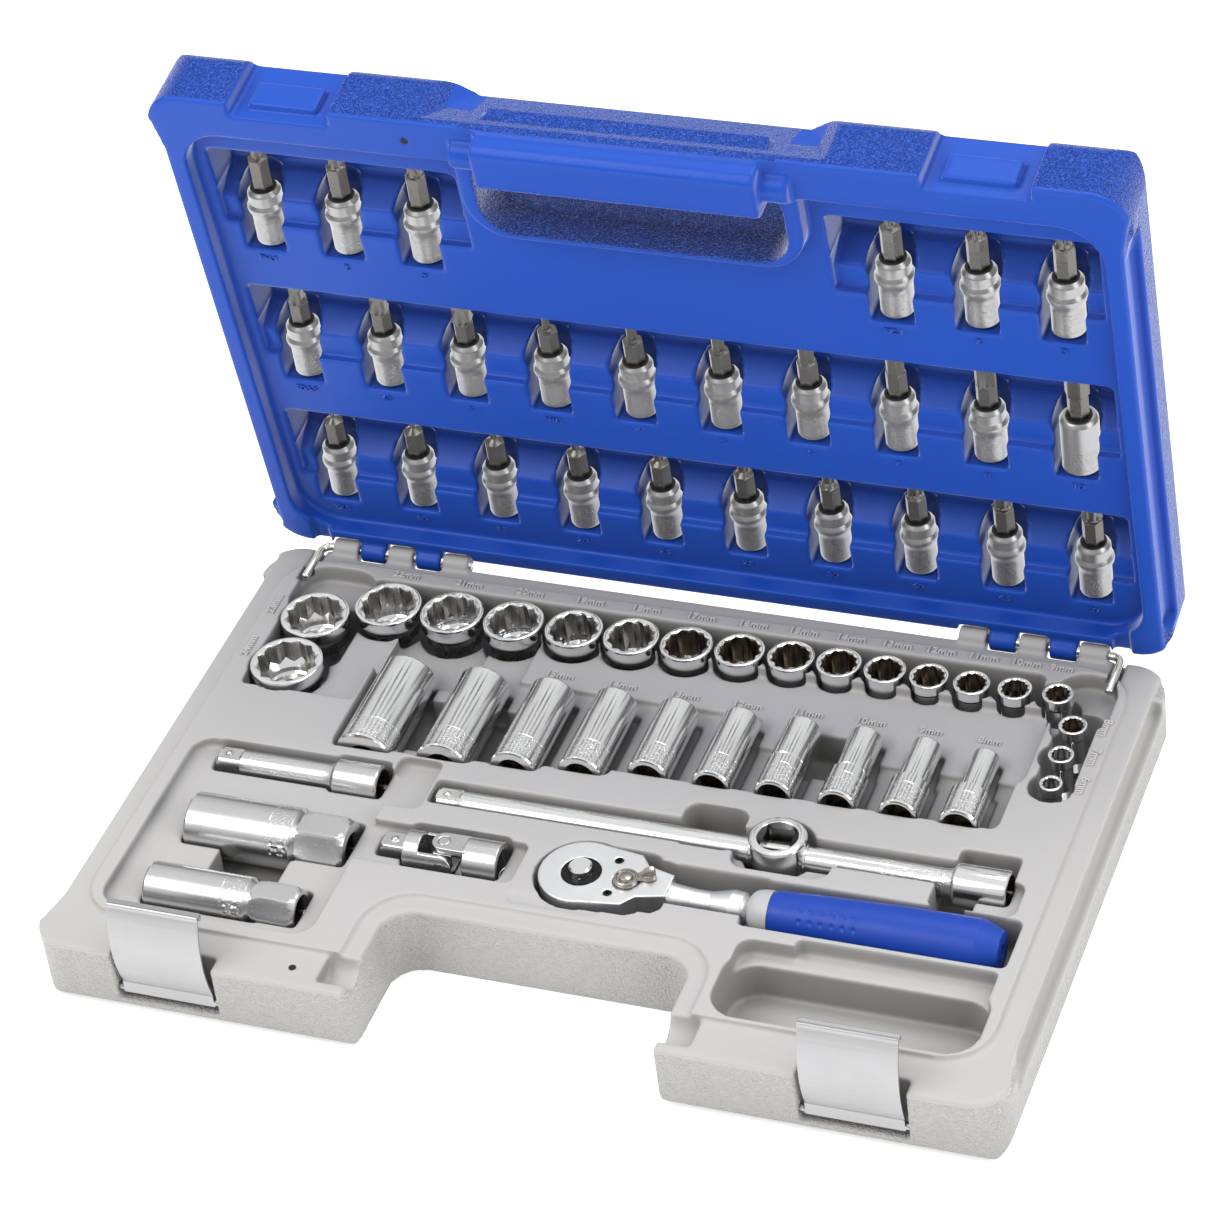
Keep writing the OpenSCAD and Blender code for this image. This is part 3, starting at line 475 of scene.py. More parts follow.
def spark_socket(node_name, size, od):
    """Spark plug socket: round body with stamped dimples, neck and hexagon end."""
    lo, hi = box_mm(node_name)
    length = hi.x - lo.x
    r, mid = od / 2, (lo + hi) / 2
    flats = hexagon(od * 0.96 * 0.866, math.pi / 6)
    seat, start = length * 0.68, length * 0.72
    rows = [(-2.2 + (k % 3) * 2.1, seat - 8.5 + (k // 3) * 2.6 + (k % 2) * 1.1) for k in range(9)]
    dent = stamped_dimples([(s + r * 1.95, z) for s, z in rows], 0.95, 0.4)
    hexa = hexagon(size + 0.3)
    hole = square(DRIVE, DRIVE * 0.66)

    def body(z):
        return lambda a: r - dent(((a + math.pi) % (2 * math.pi) - math.pi) * -r, z)

    rings = [(0.62 * length - 1, 4.6, 1), (0.62 * length - 1.2, hexa, 1), (2, hexa, 0),
             (0.6, r - 2.2, 0), (0, r - 1.6, 0), (0.0, r - 1.0, 0), (0.3, r - 0.35, 0), (1, r, 0)]
    z = 1.6
    while z < seat - 12:
        rings.append((z, r, 0))
        z += 4.0
    z = seat - 12
    while z < seat - 0.6:
        rings.append((z, body(z), 0))
        z += 0.3
    rings += [(seat - 0.4, r - 0.1, 0), (seat, r - 0.5, 0), (seat + 0.5, r - 0.9, 0),
              (seat + 1.4, smaller(flats, r - 1.7), 0), (seat + 2.6, smaller(flats, r - 1.1), 0),
              (start + 3.4, smaller(flats, r * 0.985), 0),
              (length - 3.4, smaller(flats, r * 0.985), 0),
              (length - 2.2, smaller(flats, r * 0.93), 0),
              (length - 0.9, smaller(flats, r * 0.86), 0),
              (length, smaller(flats, r * 0.80), 0), (length, 6.9, 0),
              (length - 1.6, hole, 1), (length - 12, hole, 1), (length - 12, 4.6, 1)]

    def band(z, a):
        up = -math.cos(a)
        front = -math.sin(a)
        return 1.0 if seat - 11 < z < seat - 1 and up > 0.45 and front > -0.55 else 0.0

    b = Build()
    b.turned(rings, 180, closed=True, matrix=along("x", (lo.x, mid.y, mid.z)), band=band)
    b.piece(node_name + "_shape", node_name, [M["satin"], M["bronze"]],
            node_name, 24)


def square_end(tip, shaft_r):
    """Rings of a drive square with a rounded end, up to where it has become a round shaft."""
    h = DRIVE / 2
    full = square(DRIVE, h * 1.27)
    return [
        (0.0, 0.0), (0.0, square(DRIVE, h * 0.86)), (0.7, square(DRIVE, h * 1.06)),
        (1.7, square(DRIVE, h * 1.24)), (tip - 0.6, square(DRIVE, h * 1.26)), (tip, full),
        (tip + 0.5, lambda a: max(full(a), h + (shaft_r - h) * 0.45)), (tip + 1.4, shaft_r),
    ]


def extension_bar(node_name, shaft, end_d, end_len, marks, material):
    """Extension from its drive square to its socket end, stamped between the two marks."""
    lo, hi = box_mm(node_name)
    length, mid = hi.x - lo.x, (lo + hi) / 2
    hole = square(DRIVE, DRIVE * 0.66)
    e = end_d / 2
    step = length - end_len
    rings = square_end(10.5, shaft / 2)
    rings += [(14, shaft / 2), (marks[0] - 0.1, shaft / 2), (marks[0], shaft / 2),
              (marks[1], shaft / 2), (marks[1] + 0.1, shaft / 2),
              (step - 6.3, shaft / 2), (step - 6, shaft / 2),
              (step - 3.4, shaft / 2 + 0.2), (step - 1.6, shaft / 2 + 0.8),
              (step - 0.7, e - 0.6), (step, e - 0.1), (step + 0.5, e), (length - 0.9, e),
              (length - 0.3, e - 0.3), (length, e - 0.9), (length, 6.9), (length - 1.7, hole),
              (length - 12, hole), (length - 12, 0.0)]
    rings = [(z, r, 1 if k >= len(rings) - 4 else 0) for k, (z, r) in enumerate(rings)]
    b = Build()

    def band(z, a):
        return 1.0 if marks[0] <= z <= marks[1] and -math.cos(a) > 0.3 else 0.0

    b.turned(rings, 96, matrix=along("x", (lo.x, mid.y, mid.z)), band=band)
    up = mid.z + DRIVE / 2
    ring = Matrix.Translation((lo.x + 5.2, mid.y, up))
    b.turned([(-0.3, 1.75, 2), (0.06, 2.0, 2), (0.10, 1.75, 2), (-0.25, 1.55, 2)], 32, True, ring)
    b.ball((lo.x + 5.2, mid.y, up - 0.55), 1.5)
    b.piece(node_name + "_shape", node_name, [material, M["bronze"], M["copper"]],
            node_name, 26)


for size in NOSE:
    upright_socket(size)
for size in (8, 9, 10, 11, 12, 13, 14, 15, 17, 19):
    deep_socket(size)
spark_socket("spark_socket_21", 21, 27)
spark_socket("spark_socket_16", 16, 21.4)
extension_bar("long_extension", 11.4, 17.6, 22, (196, 222), M["chrome"])
extension_bar("short_extension", 12.0, 17.2, 20, (16, 44), M["satin"])


def slide_head():
    """Sliding head with its square hole on top and the round bore along x."""
    lo, hi = box_mm("slide_head")
    x, y = (lo.x + hi.x) / 2, (lo.y + hi.y) / 2
    top, floor, r = hi.z, hi.z - 19.8, 12.2
    hole = square(12.2, 8.3)
    b = Build()
    b.turned([
        (top - 9, 0, 1), (top - 9, hole, 1), (top - 1.6, hole, 1), (top - 0.3, 8.6, 0),
        (top, 8.9, 0), (top, r - 1.3, 0), (top - 0.35, r - 0.5, 0), (top - 1.2, r, 0), (top - 8, r, 0),
        (floor + 5, r, 0), (floor + 1.2, r, 0), (floor, r - 1.2, 0), (floor, 0, 0),
    ], 96, matrix=Matrix.Translation((x, y, 0)))
    foot = square(DRIVE, DRIVE * 0.66)
    b.turned([(floor + 1, 0), (floor + 1, foot), (lo.z + 1, foot), (lo.z, 4.4), (lo.z, 0)], 64,
             matrix=Matrix.Translation((x, y, 0)))
    for side in (-1, 1):
        rim = along("x" if side > 0 else "-x", (x + side * (r - 2.4), y, hi.z - 10.8))
        b.turned([(0, 5.8), (2.0, 6.6), (2.6, 6.4), (2.5, 5.78)], 48, True, rim)
    # the square hole's inside takes the near-black painted shade
    b.piece("slide_head_shape", "slide_head", [M["chrome"], M["painted_hole_shade"]],
            "slide_head", 28)


slide_head()


def grip():
    """Soft grip, thick near its coned end and with two rows of dimples, and its collar."""
    lo, hi = box_mm("grip")
    length, mid = hi.x - lo.x, (lo + hi) / 2
    shape = [(0, 9.4), (3, 9.9), (8, 10.1), (20, 10.7), (36, 11.2), (56, 11.8), (78, 12.0),
             (length - 9, 12.0), (length, 8.4)]

    def radius(z):
        for (a, ra), (c, rc) in zip(shape, shape[1:]):
            if z <= c:
                f = (z - a) / (c - a)
                f = f * f * (3 - 2 * f) if c < length - 8 else f
                return ra + (rc - ra) * f
        return shape[-1][1]

    dots = [(s, 14 + k * 4.6) for k in range(6) for s in (-2.4, 2.4)]
    dent = stamped_dimples(dots, 1.2, 0.5)
    rings = [(0, 0, 0), (0, 8.9, 0)]
    z = 0.4
    while z < length:
        q = radius(z)
        if 12 < z < 40:
            rings.append((z, lambda a, q=q, z=z: q - dent(
                ((a - math.pi * 1.22 + math.pi) % (2 * math.pi) - math.pi) * q, z), 0))
        else:
            rings.append((z, q, 0))
        z += 0.35 if 12 < z < 40 else (0.5 if z < 2 or z > length - 11 else 2.0)
    rings += [(length, 8.3, 0), (length, 3.2, 0), (length - 0.8, 2.6, 0), (length - 0.8, 0, 0)]
    b = Build()
    b.turned(rings, 160, matrix=along("x", (lo.x, mid.y, mid.z)))
    shape = b.piece("grip_shape", "ratchet", [M["grip"]], "grip", 32)
    shape.visible_glossy = False
    lo, hi = box_mm("grip_collar")
    mid = (lo + hi) / 2
    b = Build()
    b.turned([(0, 5.4), (0, 6.9), (0.6, 7.7), (2.2, 8.8), (5, 9.4), (8.9, 9.6), (8.9, 5.4)],
             96, True, along("x", (lo.x, mid.y, mid.z)))
    b.piece("collar_shape", "ratchet", [M["collar"]], "grip_collar", 32)


grip()


# ---------- soft shells over CAD nodes ----------


def outer_shell(mesh):
    """The mesh without its closed inner space: only the connected part with the largest box."""
    bm = bmesh.new()
    bm.from_mesh(mesh)
    bmesh.ops.remove_doubles(bm, verts=bm.verts, dist=1e-6)
    seen, parts = set(), []
    for v in bm.verts:
        if v in seen:
            continue
        stack, part = [v], []
        seen.add(v)
        while stack:
            a = stack.pop()
            part.append(a)
            for e in a.link_edges:
                c = e.other_vert(a)
                if c not in seen:
                    seen.add(c)
                    stack.append(c)
        parts.append(part)
    size = lambda p: max(v.co.x for v in p) - min(v.co.x for v in p)
    parts.sort(key=size)
    for p in parts[:-1]:
        bmesh.ops.delete(bm, geom=p, context="VERTS")
    bm.to_mesh(mesh)
    bm.free()


def applied(obj):
    """Replaces the object's mesh with the result of its modifiers."""
    dg = bpy.context.evaluated_depsgraph_get()
    me = bpy.data.meshes.new_from_object(obj.evaluated_get(dg))
    obj.modifiers.clear()
    obj.data = me


TRAY_Z = 36.0
BACK_Z = 30.5
hinge = JOINTS["lid_hinge"]
HINGE = Vector(hinge["pos_m"])
OPEN = -math.radians(hinge["range_deg"][0])


def lid_turn(angle):
    """Turns about the hinge, positive to close."""
    return (
        Matrix.Translation(HINGE)
        @ Matrix.Rotation(angle, 4, "X")
        @ Matrix.Translation(-HINGE)
    )


def soft_shell(source, name, turn=None, voxel=0.9 * MM, rounds=5, shell=True):
    me = NODES[source].data.copy()
    if turn is not None:
        me.transform(turn)
    if shell:
        outer_shell(me)
    obj = bpy.data.objects.new(name, me)
    scene.collection.objects.link(obj)
    r = obj.modifiers.new("remesh", "REMESH")
    r.mode = "VOXEL"
    r.voxel_size = voxel
    s = obj.modifiers.new("smooth", "SMOOTH")
    s.factor = 0.5
    s.iterations = rounds
    bpy.context.view_layer.update()
    applied(obj)
    obj.data.polygons.foreach_set("use_smooth", [True] * len(obj.data.polygons))
    return obj


def set_faces(obj, rule):
    for f in obj.data.polygons:
        f.material_index = rule(f.center)


# where the pebble grain ends, in metres with the lid shut
GRAIN_SIDE_X, GRAIN_FRONT_Y = 0.2025, -0.1265
GRAIN_BASE_TOP, GRAIN_LID_FOOT = 0.0322, 0.0362
LID_TOP = 0.0664
HANDLE_X = 0.0672
LATCH_X, LATCH_HALF = 0.1472, 0.0228


def in_side_band(x, y):
    """True on the smooth bands along both sides."""
    return abs(x) > 0.198 and -0.103 < y < 0.118


def base_rule(c):
    """Material number of a face of the base: 1 is the grained outside, 0 the smooth inside."""
    x, y, z = c
    outside = abs(x) > GRAIN_SIDE_X or y < GRAIN_FRONT_Y or z < 0.0012
    handle = abs(x) < HANDLE_X and y < -0.078 and z < 0.0325
    band = in_side_band(x, y) and z > 0.021
    return 1 if (outside or handle) and not band and z < GRAIN_BASE_TOP else 0


def lid_rule(c):
    """The same for the lid, whose grip and grip recess are grained and catch notches smooth."""
    x, y, z = c
    outside = abs(x) > GRAIN_SIDE_X or y < GRAIN_FRONT_Y or z > LID_TOP
    bar = abs(x) < HANDLE_X and y < -0.0735 and z > 0.0352
    band = in_side_band(x, y) and z < 0.047
    notch = abs(abs(x) - LATCH_X) < LATCH_HALF and y < -0.12 and z < LID_TOP
    return 1 if ((outside and z > GRAIN_LID_FOOT) or bar) and not band and not notch else 0


base = soft_shell("base_case", "base_shell")
# the thin wall between the deep sockets' surface and the dip beside it is only a step
low, high = Vector((-0.1325, 0.0600, BACK_Z * MM)), Vector((-0.1280, 0.0915, 1.0))
for v in base.data.vertices:
    if all(low[k] < v.co[k] < high[k] for k in range(3)):
        v.co.z = low.z
put_material(base, M["base_smooth"], M["base_grain"])
set_faces(base, base_rule)
finish_piece(base, "base", "base_case")

lid = soft_shell("lid_case", "lid_shell", lid_turn(OPEN))
put_material(lid, M["lid_smooth"], M["lid_grain"])
set_faces(lid, lid_rule)
lid.data.transform(lid_turn(-OPEN))
finish_piece(lid, "lid", "lid_case")
# the chrome of the tools shows the studio, not the lid
lid.visible_glossy = False

BLENDED = {
    "ratchet_body": ("ratchet", "matt", 0.34, 5),
    "joint_socket_end": ("joint_socket_end", "satin", 0.28, 4),
    "joint_square_end": ("joint_square_end", "satin", 0.28, 4),
    "joint_cross": ("joint_cross", "satin", 0.28, 3),
    "latch_left": ("latch_left", "latch", 0.30, 3),
    "latch_right": ("latch_right", "latch", 0.30, 3),
}
for n, (body, material, voxel, rounds) in BLENDED.items():
    o = soft_shell(n, n + "_shape", None, voxel * MM, rounds, False)
    put_material(o, M[material])
    finish_piece(o, body, n)



def reverse_lever():
    """Rimmed disc with a pointer tab whose end stands up in two lobes."""
    lo, hi = box_mm("reverse_lever")
    x, y = LEVER_AT
    seat = hi.z - 4.1
    b = Build()
    place = Matrix.Translation((x, y, seat))
    b.turned([(-1, 0), (-1, 5.2), (1.2, 5.3), (1.9, 5.1), (2.2, 4.7), (2.2, 4.2), (1.6, 3.8),
              (1.5, 3.0), (2.4, 2.7), (2.7, 2.2), (2.8, 0)], 64, matrix=place)
    turn = place @ Matrix.Rotation(math.radians(24), 4, "Z")
    tab = [(3.2, 2.3, 1.9), (5.2, 1.8, 2.0), (7.0, 2.2, 2.6), (8.2, 2.9, 3.5), (10.4, 3.1, 4.0),
           (11.8, 2.6, 3.6), (12.3, 1.9, 2.6)]
    verts, faces = [], []
    half_shape = ((0.3, 0.86), (0.75, 1.0), (1, 0.7), (1, 0.0))
    shape = [(-v, w) for v, w in reversed(half_shape)] + list(half_shape)
    for u, half, high in tab:
        verts += [(u, v * half, 0.3 + (high - 0.3) * w) for v, w in shape]
    n = len(shape)
    for i in range(len(tab) - 1):
        for k in range(n):
            m = (k + 1) % n
            faces.append((i * n + k, i * n + m, (i + 1) * n + m, (i + 1) * n + k))
    faces += [tuple(range(n)), tuple(reversed(range((len(tab) - 1) * n, len(tab) * n)))]
    b.add(verts, faces, 0, turn)
    b.piece("reverse_lever_shape", "reverse_lever", [M["gunmetal"]],
            "reverse_lever", 35)


LEVER_AT = Vector(JOINTS["reverse_lever_turn"]["pos_m"][:2]) / MM
reverse_lever()

# ---------- bits in the lid ----------


LID_PLANE = 43.6
BIT_AXIS = 52.2
BIT_TILT = math.radians(6)
SLEEVE = 26.5
BIT = 50.0
ROW_END = (177.4, 98.6, 22.3)
PITCH = 38.6


def column(i):
    return (i - 4.5) * PITCH - 2.2


def top_column(i):
    return -139.6 + (i - 1) * 35.8 if i < 3 else 137.2 + (i - 4) * 35.7


HINGE_MM = HINGE / MM
LID_SWING = (
    Matrix.Translation(HINGE_MM)
    @ Matrix.Rotation(-OPEN, 4, "X")
    @ Matrix.Translation(-HINGE_MM)
)


def bit_place(x, v):
    """Stands a bit on its drive end at distance v from the hinge, tip away from the hinge."""
    return (
        LID_SWING
        @ Matrix.Translation((x, HINGE_MM.y - v, BIT_AXIS))
        @ Matrix.Rotation(math.pi / 2 - BIT_TILT, 4, "X")
    )


def sleeve(b, place, straight):
    """Drive end of a bit: straight, or bulged above its middle, with a dark ring at the bit."""
    hole = square(DRIVE, DRIVE * 0.66)
    if straight:
        outside = [(0, 7.6)]
        outside += [(z, 8.2) for z in (0.6, 2.4, 2.6, 11.4, 11.6, SLEEVE - 1.8)]
        outside += [(SLEEVE - 0.6, 7.5), (SLEEVE, 6.9)]
    else:
        outside = [(0, 6.5), (0.25, 6.9)]
        outside += [(z, 7.1) for z in (0.8, 2.4, 2.6, 11.4, 11.6, 13.2)]
        outside += [(14.4, 7.4), (16, 8.1), (17.2, 8.4), (18.4, 8.35), (19.4, 7.8), (20.1, 7.35),
                    (20.8, 7.3), (24.6, 7.3), (25.2, 7.0), (26, 6.2), (SLEEVE, 5.9)]
    rings = [(9.5, 0, 1), (9.5, hole, 1), (1.4, hole, 0), (0, 6.2, 0)]
    rings += [(z, r, 0) for z, r in outside]
    rings += [(SLEEVE, 5.7, 2), (SLEEVE + 0.5, 5.6, 2), (SLEEVE + 0.5, 4.3, 2),
              (SLEEVE - 1, 4.2, 2), (SLEEVE - 1, 0, 2)]

    def band(z, a):
        return 1.0 if 2.5 < z < 11.5 and math.cos(a + math.pi / 2) > 0.2 else 0.0

    b.turned(rings, 48, matrix=place, band=band)


def lobes(r, count, deep):
    """Radius function with this many rounded lobes."""
    return lambda a: r * (1 - deep * (0.5 - 0.5 * math.cos(count * a)))


def blade(w, thick):
    def r(a):
        c, q = abs(math.cos(a)), abs(math.sin(a))
        return min(w / 2 / max(c, 1e-6), thick / 2 / max(q, 1e-6))

    return r


def cross_bit(r, extra):
    """Rings of a cross tip of radius r, with the four small ribs of a Pozidriv if extra."""
    rings = [(BIT - 8.4, hexagon(6.2)), (BIT - 8.2, r * 1.05), (BIT - 7, lobes(r, 4, 0.25)),
             (BIT - 5, lobes(r, 4, 0.55)), (BIT - 2.2, lobes(r * 0.66, 4, 0.5)),
             (BIT - 0.4, r * 0.26)]
    if extra:
        rings[-3] = (BIT - 5, lobes(r, 8, 0.42))
    return rings + [(BIT, r * 0.16), (BIT, 0)]


def slot_bit(w):
    return [(BIT - 13, 3.9), (BIT - 11.5, blade(w, 6.6)), (BIT - 7, blade(w, 3.2)),
            (BIT - 1.5, blade(w, 1.5)), (BIT, blade(w - 0.3, 1.2)), (BIT, 0)]


def hex_bit(s):
    flats = hexagon(s)
    top = smaller(flats, s * 0.52)
    return [(BIT - 12.4, smaller(hexagon(s + 1), 4.4)), (BIT - 11.6, flats), (BIT - 0.8, flats),
            (BIT, top), (BIT, 0)]


def star_bit(d):
    star = lobes(d / 2, 6, 0.24)
    return [(BIT - 11, 3.7), (BIT - 9.6, d / 2 + 0.1), (BIT - 9.2, star), (BIT - 0.5, star),
            (BIT, lobes(d / 2 - 0.4, 6, 0.24)), (BIT, 0)]


HEX_SIZES = (3, 4, 5, 6, 7, 8, 9.2)
STAR_SIZES = (2.3, 2.7, 3.3, 3.9, 4.4, 5, 5.5, 6.6, 7.8, 8.8)
TIPS = {
    "phillips_bits": [(top_column(i), ROW_END[0], cross_bit(2.4 + i * 0.4, False))
                      for i in (0, 1, 2)],
    "pozidriv_bits": [(top_column(i), ROW_END[0], cross_bit(1.2 + i * 0.4, True))
                      for i in (3, 4, 5)],
    "slotted_bits": [(column(i), ROW_END[1], slot_bit(5.5 + i * 1.2)) for i in (0, 1, 2)],
    "hex_bits": [(column(i + 3), ROW_END[1], hex_bit(s)) for i, s in enumerate(HEX_SIZES)],
    "torx_bits": [(column(i), ROW_END[2], star_bit(d)) for i, d in enumerate(STAR_SIZES)],
}
sleeves = Build()
for name, tips in TIPS.items():
    b = Build()
    for k, (x, v, tip) in enumerate(tips):
        place = bit_place(x, v)
        flats = hexagon(8.0)
        start = [(SLEEVE - 0.9, 0)]
        start += [(z, flats) for z in (SLEEVE - 0.9, 28.9, 29.1, 35.9, 36.1, tip[0][0] - 0.8)]
        start.append((tip[0][0] - 0.2, smaller(flats, 4.2)))

        def band(z, a):
            return 1.0 if 29 < z < 36 and math.cos(a + math.pi / 2) > 0.75 else 0.0

        b.turned(start + tip, 72, matrix=place, band=band)
        sleeve(sleeves, place, name == "hex_bits" and k == 6)
    b.piece(name + "_shape", "lid", [M["steel"]], name, 26)
sleeves.piece("sleeves_shape", "lid", [M["sleeve"], M["bronze"], M["dark_ring_and_hole_shade"]],
              "bit_sleeves", 26)


# ---------- hinge wires ----------


def tube(b, path, r, count=20):
    """Round wire along a path of points, with half-ball ends."""
    verts, faces = [], []
    n = len(path)
    for i, p in enumerate(path):
        d = (path[min(i + 1, n - 1)] - path[max(i - 1, 0)]).normalized()
        side = d.cross(Vector((0, 0, 1))).normalized()
        up = side.cross(d)
        for k in range(count):
            a = 2 * math.pi * k / count
            q = 0.0 if i in (0, n - 1) else (0.7 * r if i in (1, n - 2) else r)
            verts.append(p + q * (math.cos(a) * side + math.sin(a) * up))
    for i in range(n - 1):
        for k in range(count):
            m = (k + 1) % count
            faces.append((i * count + k, i * count + m, (i + 1) * count + m, (i + 1) * count + k))
    b.add(verts, faces)


def hinge_wire(name, side):
    """Hinge pin on one side, bent forward at its outer end to lie in the base's groove."""
    lo, hi = box_mm(name)
    y, z, r = hi.y - 1.9, (lo.z + hi.z) / 2, 1.9
    far = (hi.x if side > 0 else lo.x) - side * r
    inner = lo.x if side > 0 else hi.x
    bend = 4.5
    path = [Vector((x, y, z))
            for x in (inner, inner + side * 0.3, inner + side * 1, far - side * bend - side)]
    for k in range(9):
        a = math.pi / 2 * k / 8
        path.append(Vector((far - side * bend + side * bend * math.sin(a),
                            y - bend + bend * math.cos(a), z)))
    path += [Vector((far, lo.y + 1, z)), Vector((far, lo.y + 0.3, z)), Vector((far, lo.y, z))]
    b = Build()
    tube(b, path, r)
    b.piece(name + "_shape", "base", [M["wire"]], name, 40)


hinge_wire("hinge_pin_left", -1)
hinge_wire("hinge_pin_right", 1)

# ---------- size labels ----------


def text_mesh(text, size, width, raise_by):
    """Raised text as a mesh around the origin, stretched to the width."""
    curve = bpy.data.curves.new("label", "FONT")
    curve.body = text
    curve.size = size
    curve.align_x = "CENTER"
    curve.align_y = "CENTER"
    curve.extrude = raise_by
    curve.bevel_depth = raise_by * 0.25
    curve.bevel_resolution = 0
    curve.resolution_u = 3
    obj = bpy.data.objects.new("label", curve)
    scene.collection.objects.link(obj)
    bpy.context.view_layer.update()
    dg = bpy.context.evaluated_depsgraph_get()
    me = bpy.data.meshes.new_from_object(obj.evaluated_get(dg))
    bpy.data.objects.remove(obj)
    xs = [v.co.x for v in me.vertices]
    me.transform(Matrix.Diagonal((width / (max(xs) - min(xs)), 1, 1, 1)))
    return me


def labels(name, items, body, material):
    """One piece of raised letters from (text, matrix, height, width), in millimetres."""
    bm = bmesh.new()
    for text, matrix, height, width in items:
        me = text_mesh(text, height * 1.4, width, 0.6)
        me.transform(matrix)
        bm.from_mesh(me)
    me = bpy.data.meshes.new(name)
    bm.to_mesh(me)
    bm.free()
    me.transform(Matrix.Scale(MM, 4))
    obj = bpy.data.objects.new(name, me)
    scene.collection.objects.link(obj)
    put_material(obj, material)
    by_angle(me, 40)
    finish_piece(obj, body)


def flat_text(x, y, z, turn=0.0):
    return Matrix.Translation((x, y, z)) @ Matrix.Rotation(turn, 4, "Z")


def centre(name):
    """Middle and upper corner of a node's box."""
    lo, hi = box_mm(name)
    return (lo + hi) / 2, hi


def label_width(size):
    return 12.5 if size > 9 else 10


REAR_LABEL_Y = 122.3
LEFT_LABEL_X = -189.8
RIGHT_LABEL_X = 190.8
LABEL = 3.6
base_items = []
for size in range(9, 23):
    c, hi = centre(f"socket_{size}")
    x = c.x if size > 9 else c.x - 3
    place = flat_text(x, REAR_LABEL_Y, TRAY_Z + 0.1)
    base_items.append((f"{size}mm", place, LABEL, label_width(size)))
for size, y in ((23, 91), (24, 61.5)):
    place = flat_text(LEFT_LABEL_X, y, TRAY_Z + 0.1, math.pi / 2)
    base_items.append((f"{size}mm", place, LABEL, 13))
for size in (8, 7, 6):
    c, hi = centre(f"socket_{size}")
    place = flat_text(RIGHT_LABEL_X, c.y + 2.4, TRAY_Z + 0.1, -math.pi / 2)
    base_items.append((f"{size}mm", place, 3.8, 10.5))
for size in (8, 9, 10, 11, 12, 13, 14, 15):
    c, hi = centre(f"deep_socket_{size}")
    place = flat_text(c.x - 2.8, hi.y + 14.5, BACK_Z + 0.1)
    base_items.append((f"{size}mm", place, LABEL, label_width(size)))
# the letters take the lighter grey, a painted highlight
labels("base_labels", base_items, "base", M["label"])


def lid_text(x, v):
    """Text on the inner face of the open lid, at distance v from the hinge."""
    face = Matrix(((1, 0, 0, x), (0, -1, 0, HINGE_MM.y - v), (0, 0, -1, LID_PLANE), (0, 0, 0, 1)))
    return LID_SWING @ face


LID_ROWS = [
    ([top_column(i) for i in range(6)], ROW_END[0], ("PH.1", "2", "3", "PZ.1", "2", "3")),
    ([column(i) for i in range(10)], ROW_END[1],
     ("FD.5.5", "6.5", "8", "HW.3", "4", "5", "6", "7", "8", "10")),
    ([column(i) for i in range(10)], ROW_END[2],
     ("TX.8", "10", "15", "20", "25", "27", "30", "40", "45", "50")),
]
lid_items = []
for xs, v, texts in LID_ROWS:
    for x, text in zip(xs, texts):
        lid_items.append((text, lid_text(x, v - 4.6), 2.7, 2.5 * len(text.replace(".", ""))))
labels("lid_labels", lid_items, "lid", M["lid_smooth"])


def hole_mouth_shade(name, body, matrix):
    """Painted shade: a flat near-black disc for the dark mouth of the small air hole in a flange."""
    b = Build()
    b.turned([(0.02, 0), (0.02, 1.2), (0.12, 1.35), (0.02, 1.5)], 32, matrix=matrix)
    b.piece(name, body, [M["dark_ring_and_hole_shade"]], None, 30)


VENT_AT = (-92, -121.5)
hole_mouth_shade("base_vent", "base", Matrix.Translation((*VENT_AT, TRAY_Z - 2)))
hole_mouth_shade("lid_vent", "lid",
     LID_SWING @ Matrix.Translation((*VENT_AT, TRAY_Z - 1.4)) @ Matrix.Rotation(math.pi, 4, "X"))

# ---------- stage, light and camera ----------

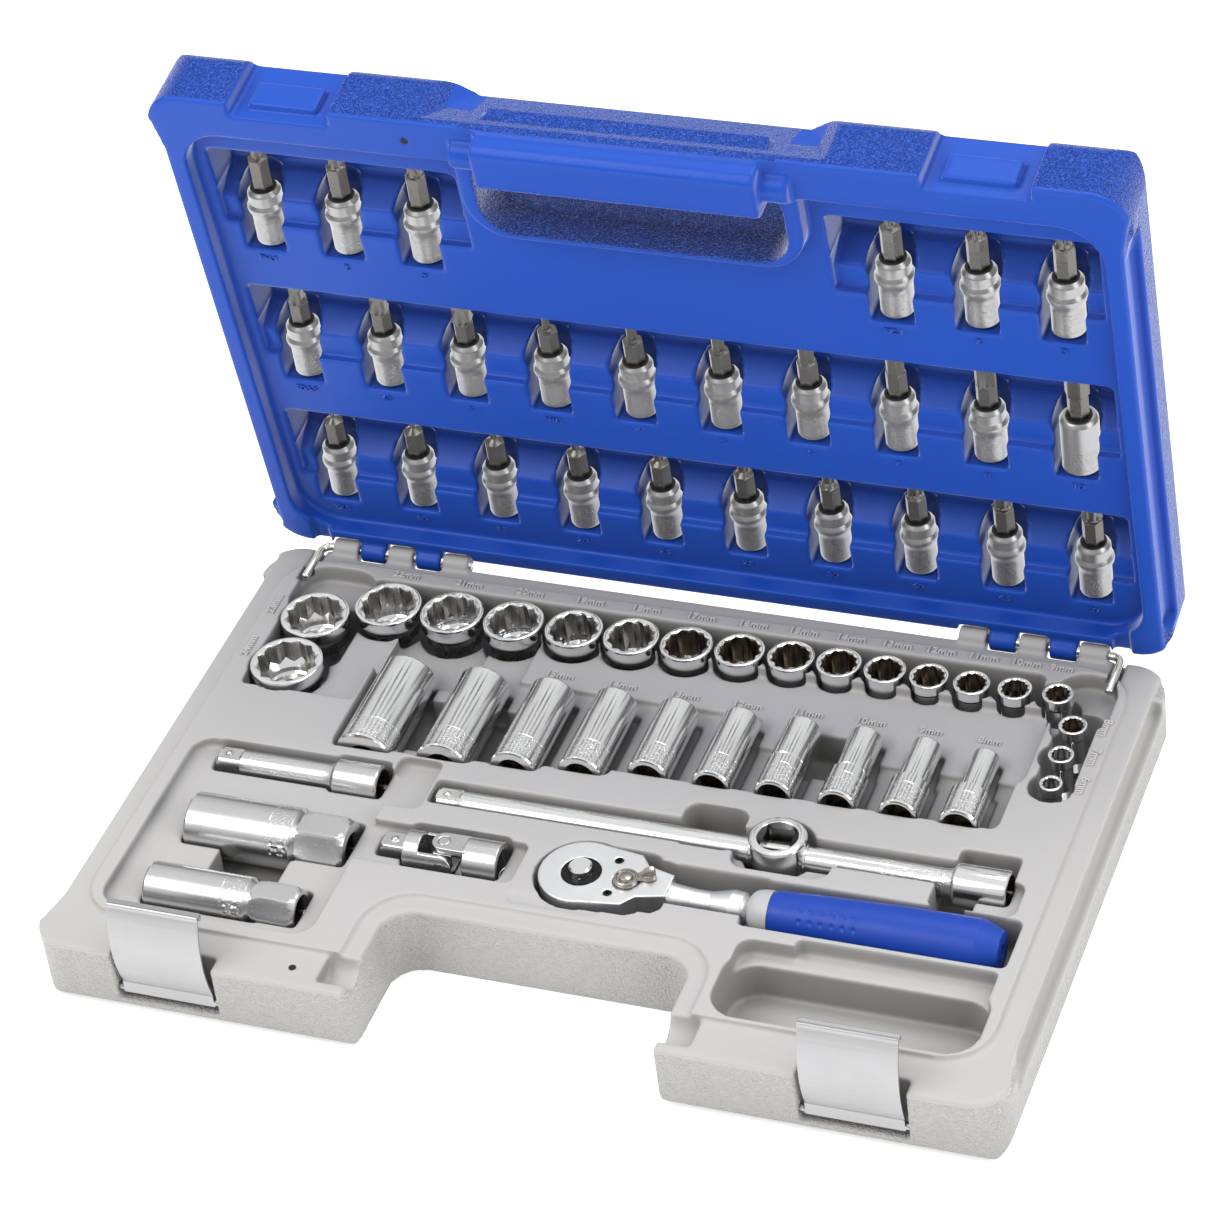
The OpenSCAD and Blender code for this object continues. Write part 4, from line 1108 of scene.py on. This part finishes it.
floor_mesh = bpy.data.meshes.new("floor")
floor_mesh.from_pydata(
    [(-6, -6, 0), (6, -6, 0), (6, 6, 0), (-6, 6, 0)], [], [(0, 1, 2, 3)]
)
floor = bpy.data.objects.new("floor", floor_mesh)
scene.collection.objects.link(floor)
fm, ft, fp = new_material("floor_white")
ft.links.new(
    ramp(ft, noise(ft, coords(ft), 3), [(0.3, 0.93), (0.7, 0.95)]), fp.inputs["Base Color"]
)
fp.inputs["Roughness"].default_value = 0.9
fp.inputs["Emission Color"].default_value = (1, 1, 1, 1)
fp.inputs["Emission Strength"].default_value = 0.45
put_material(floor, fm)

world = bpy.data.worlds.new("studio")
world.use_nodes = True
wt = world.node_tree
bg = wt.nodes["Background"]
bg.inputs[1].default_value = 0.9
axes = node(wt, "SeparateXYZ")
wt.links.new(node(wt, "TexCoord").outputs["Generated"], axes.inputs[0])
# bright above, a dark band low down that gives the chrome its dark lines
wt.links.new(
    ramp(wt, axes.outputs["Z"], [(0.0, 0.20), (0.16, 0.14), (0.34, 0.75), (0.8, 1.0)]), bg.inputs[0]
)
scene.world = world
scene.view_settings.view_transform = "Standard"


def area_light(name, place, aim, size, power):
    d = bpy.data.lights.new(name, "AREA")
    d.shape = "RECTANGLE"
    d.size, d.size_y = size
    d.energy = power
    o = bpy.data.objects.new(name, d)
    o.location = place
    o.rotation_euler = (Vector(aim) - Vector(place)).to_track_quat("-Z", "Y").to_euler()
    scene.collection.objects.link(o)


area_light("key", (-0.9, -0.9, 1.6), (0, 0, 0.05), (1.2, 0.8), 14)
area_light("top", (0.3, 0.5, 1.7), (0, 0, 0.05), (1.4, 0.7), 10)
area_light("side", (1.6, -0.2, 0.8), (0, 0, 0.1), (0.8, 0.8), 6)

# camera: where it stands, which way it looks and what lies to its right
EYE = Vector((0.58723, -1.24306, 1.24276))
LOOK = Vector((-0.32692, 0.70775, -0.62627))
RIGHT = Vector((0.93563, 0.33574, -0.10899))
cam_data = bpy.data.cameras.new("camera")
cam_data.sensor_width = 36
cam_data.lens = 130.12
cam = bpy.data.objects.new("camera", cam_data)
scene.collection.objects.link(cam)
up = RIGHT.cross(LOOK)
turn = Matrix((RIGHT, up, -LOOK)).transposed().to_4x4()
cam.matrix_world = Matrix.Translation(EYE) @ turn
scene.camera = cam
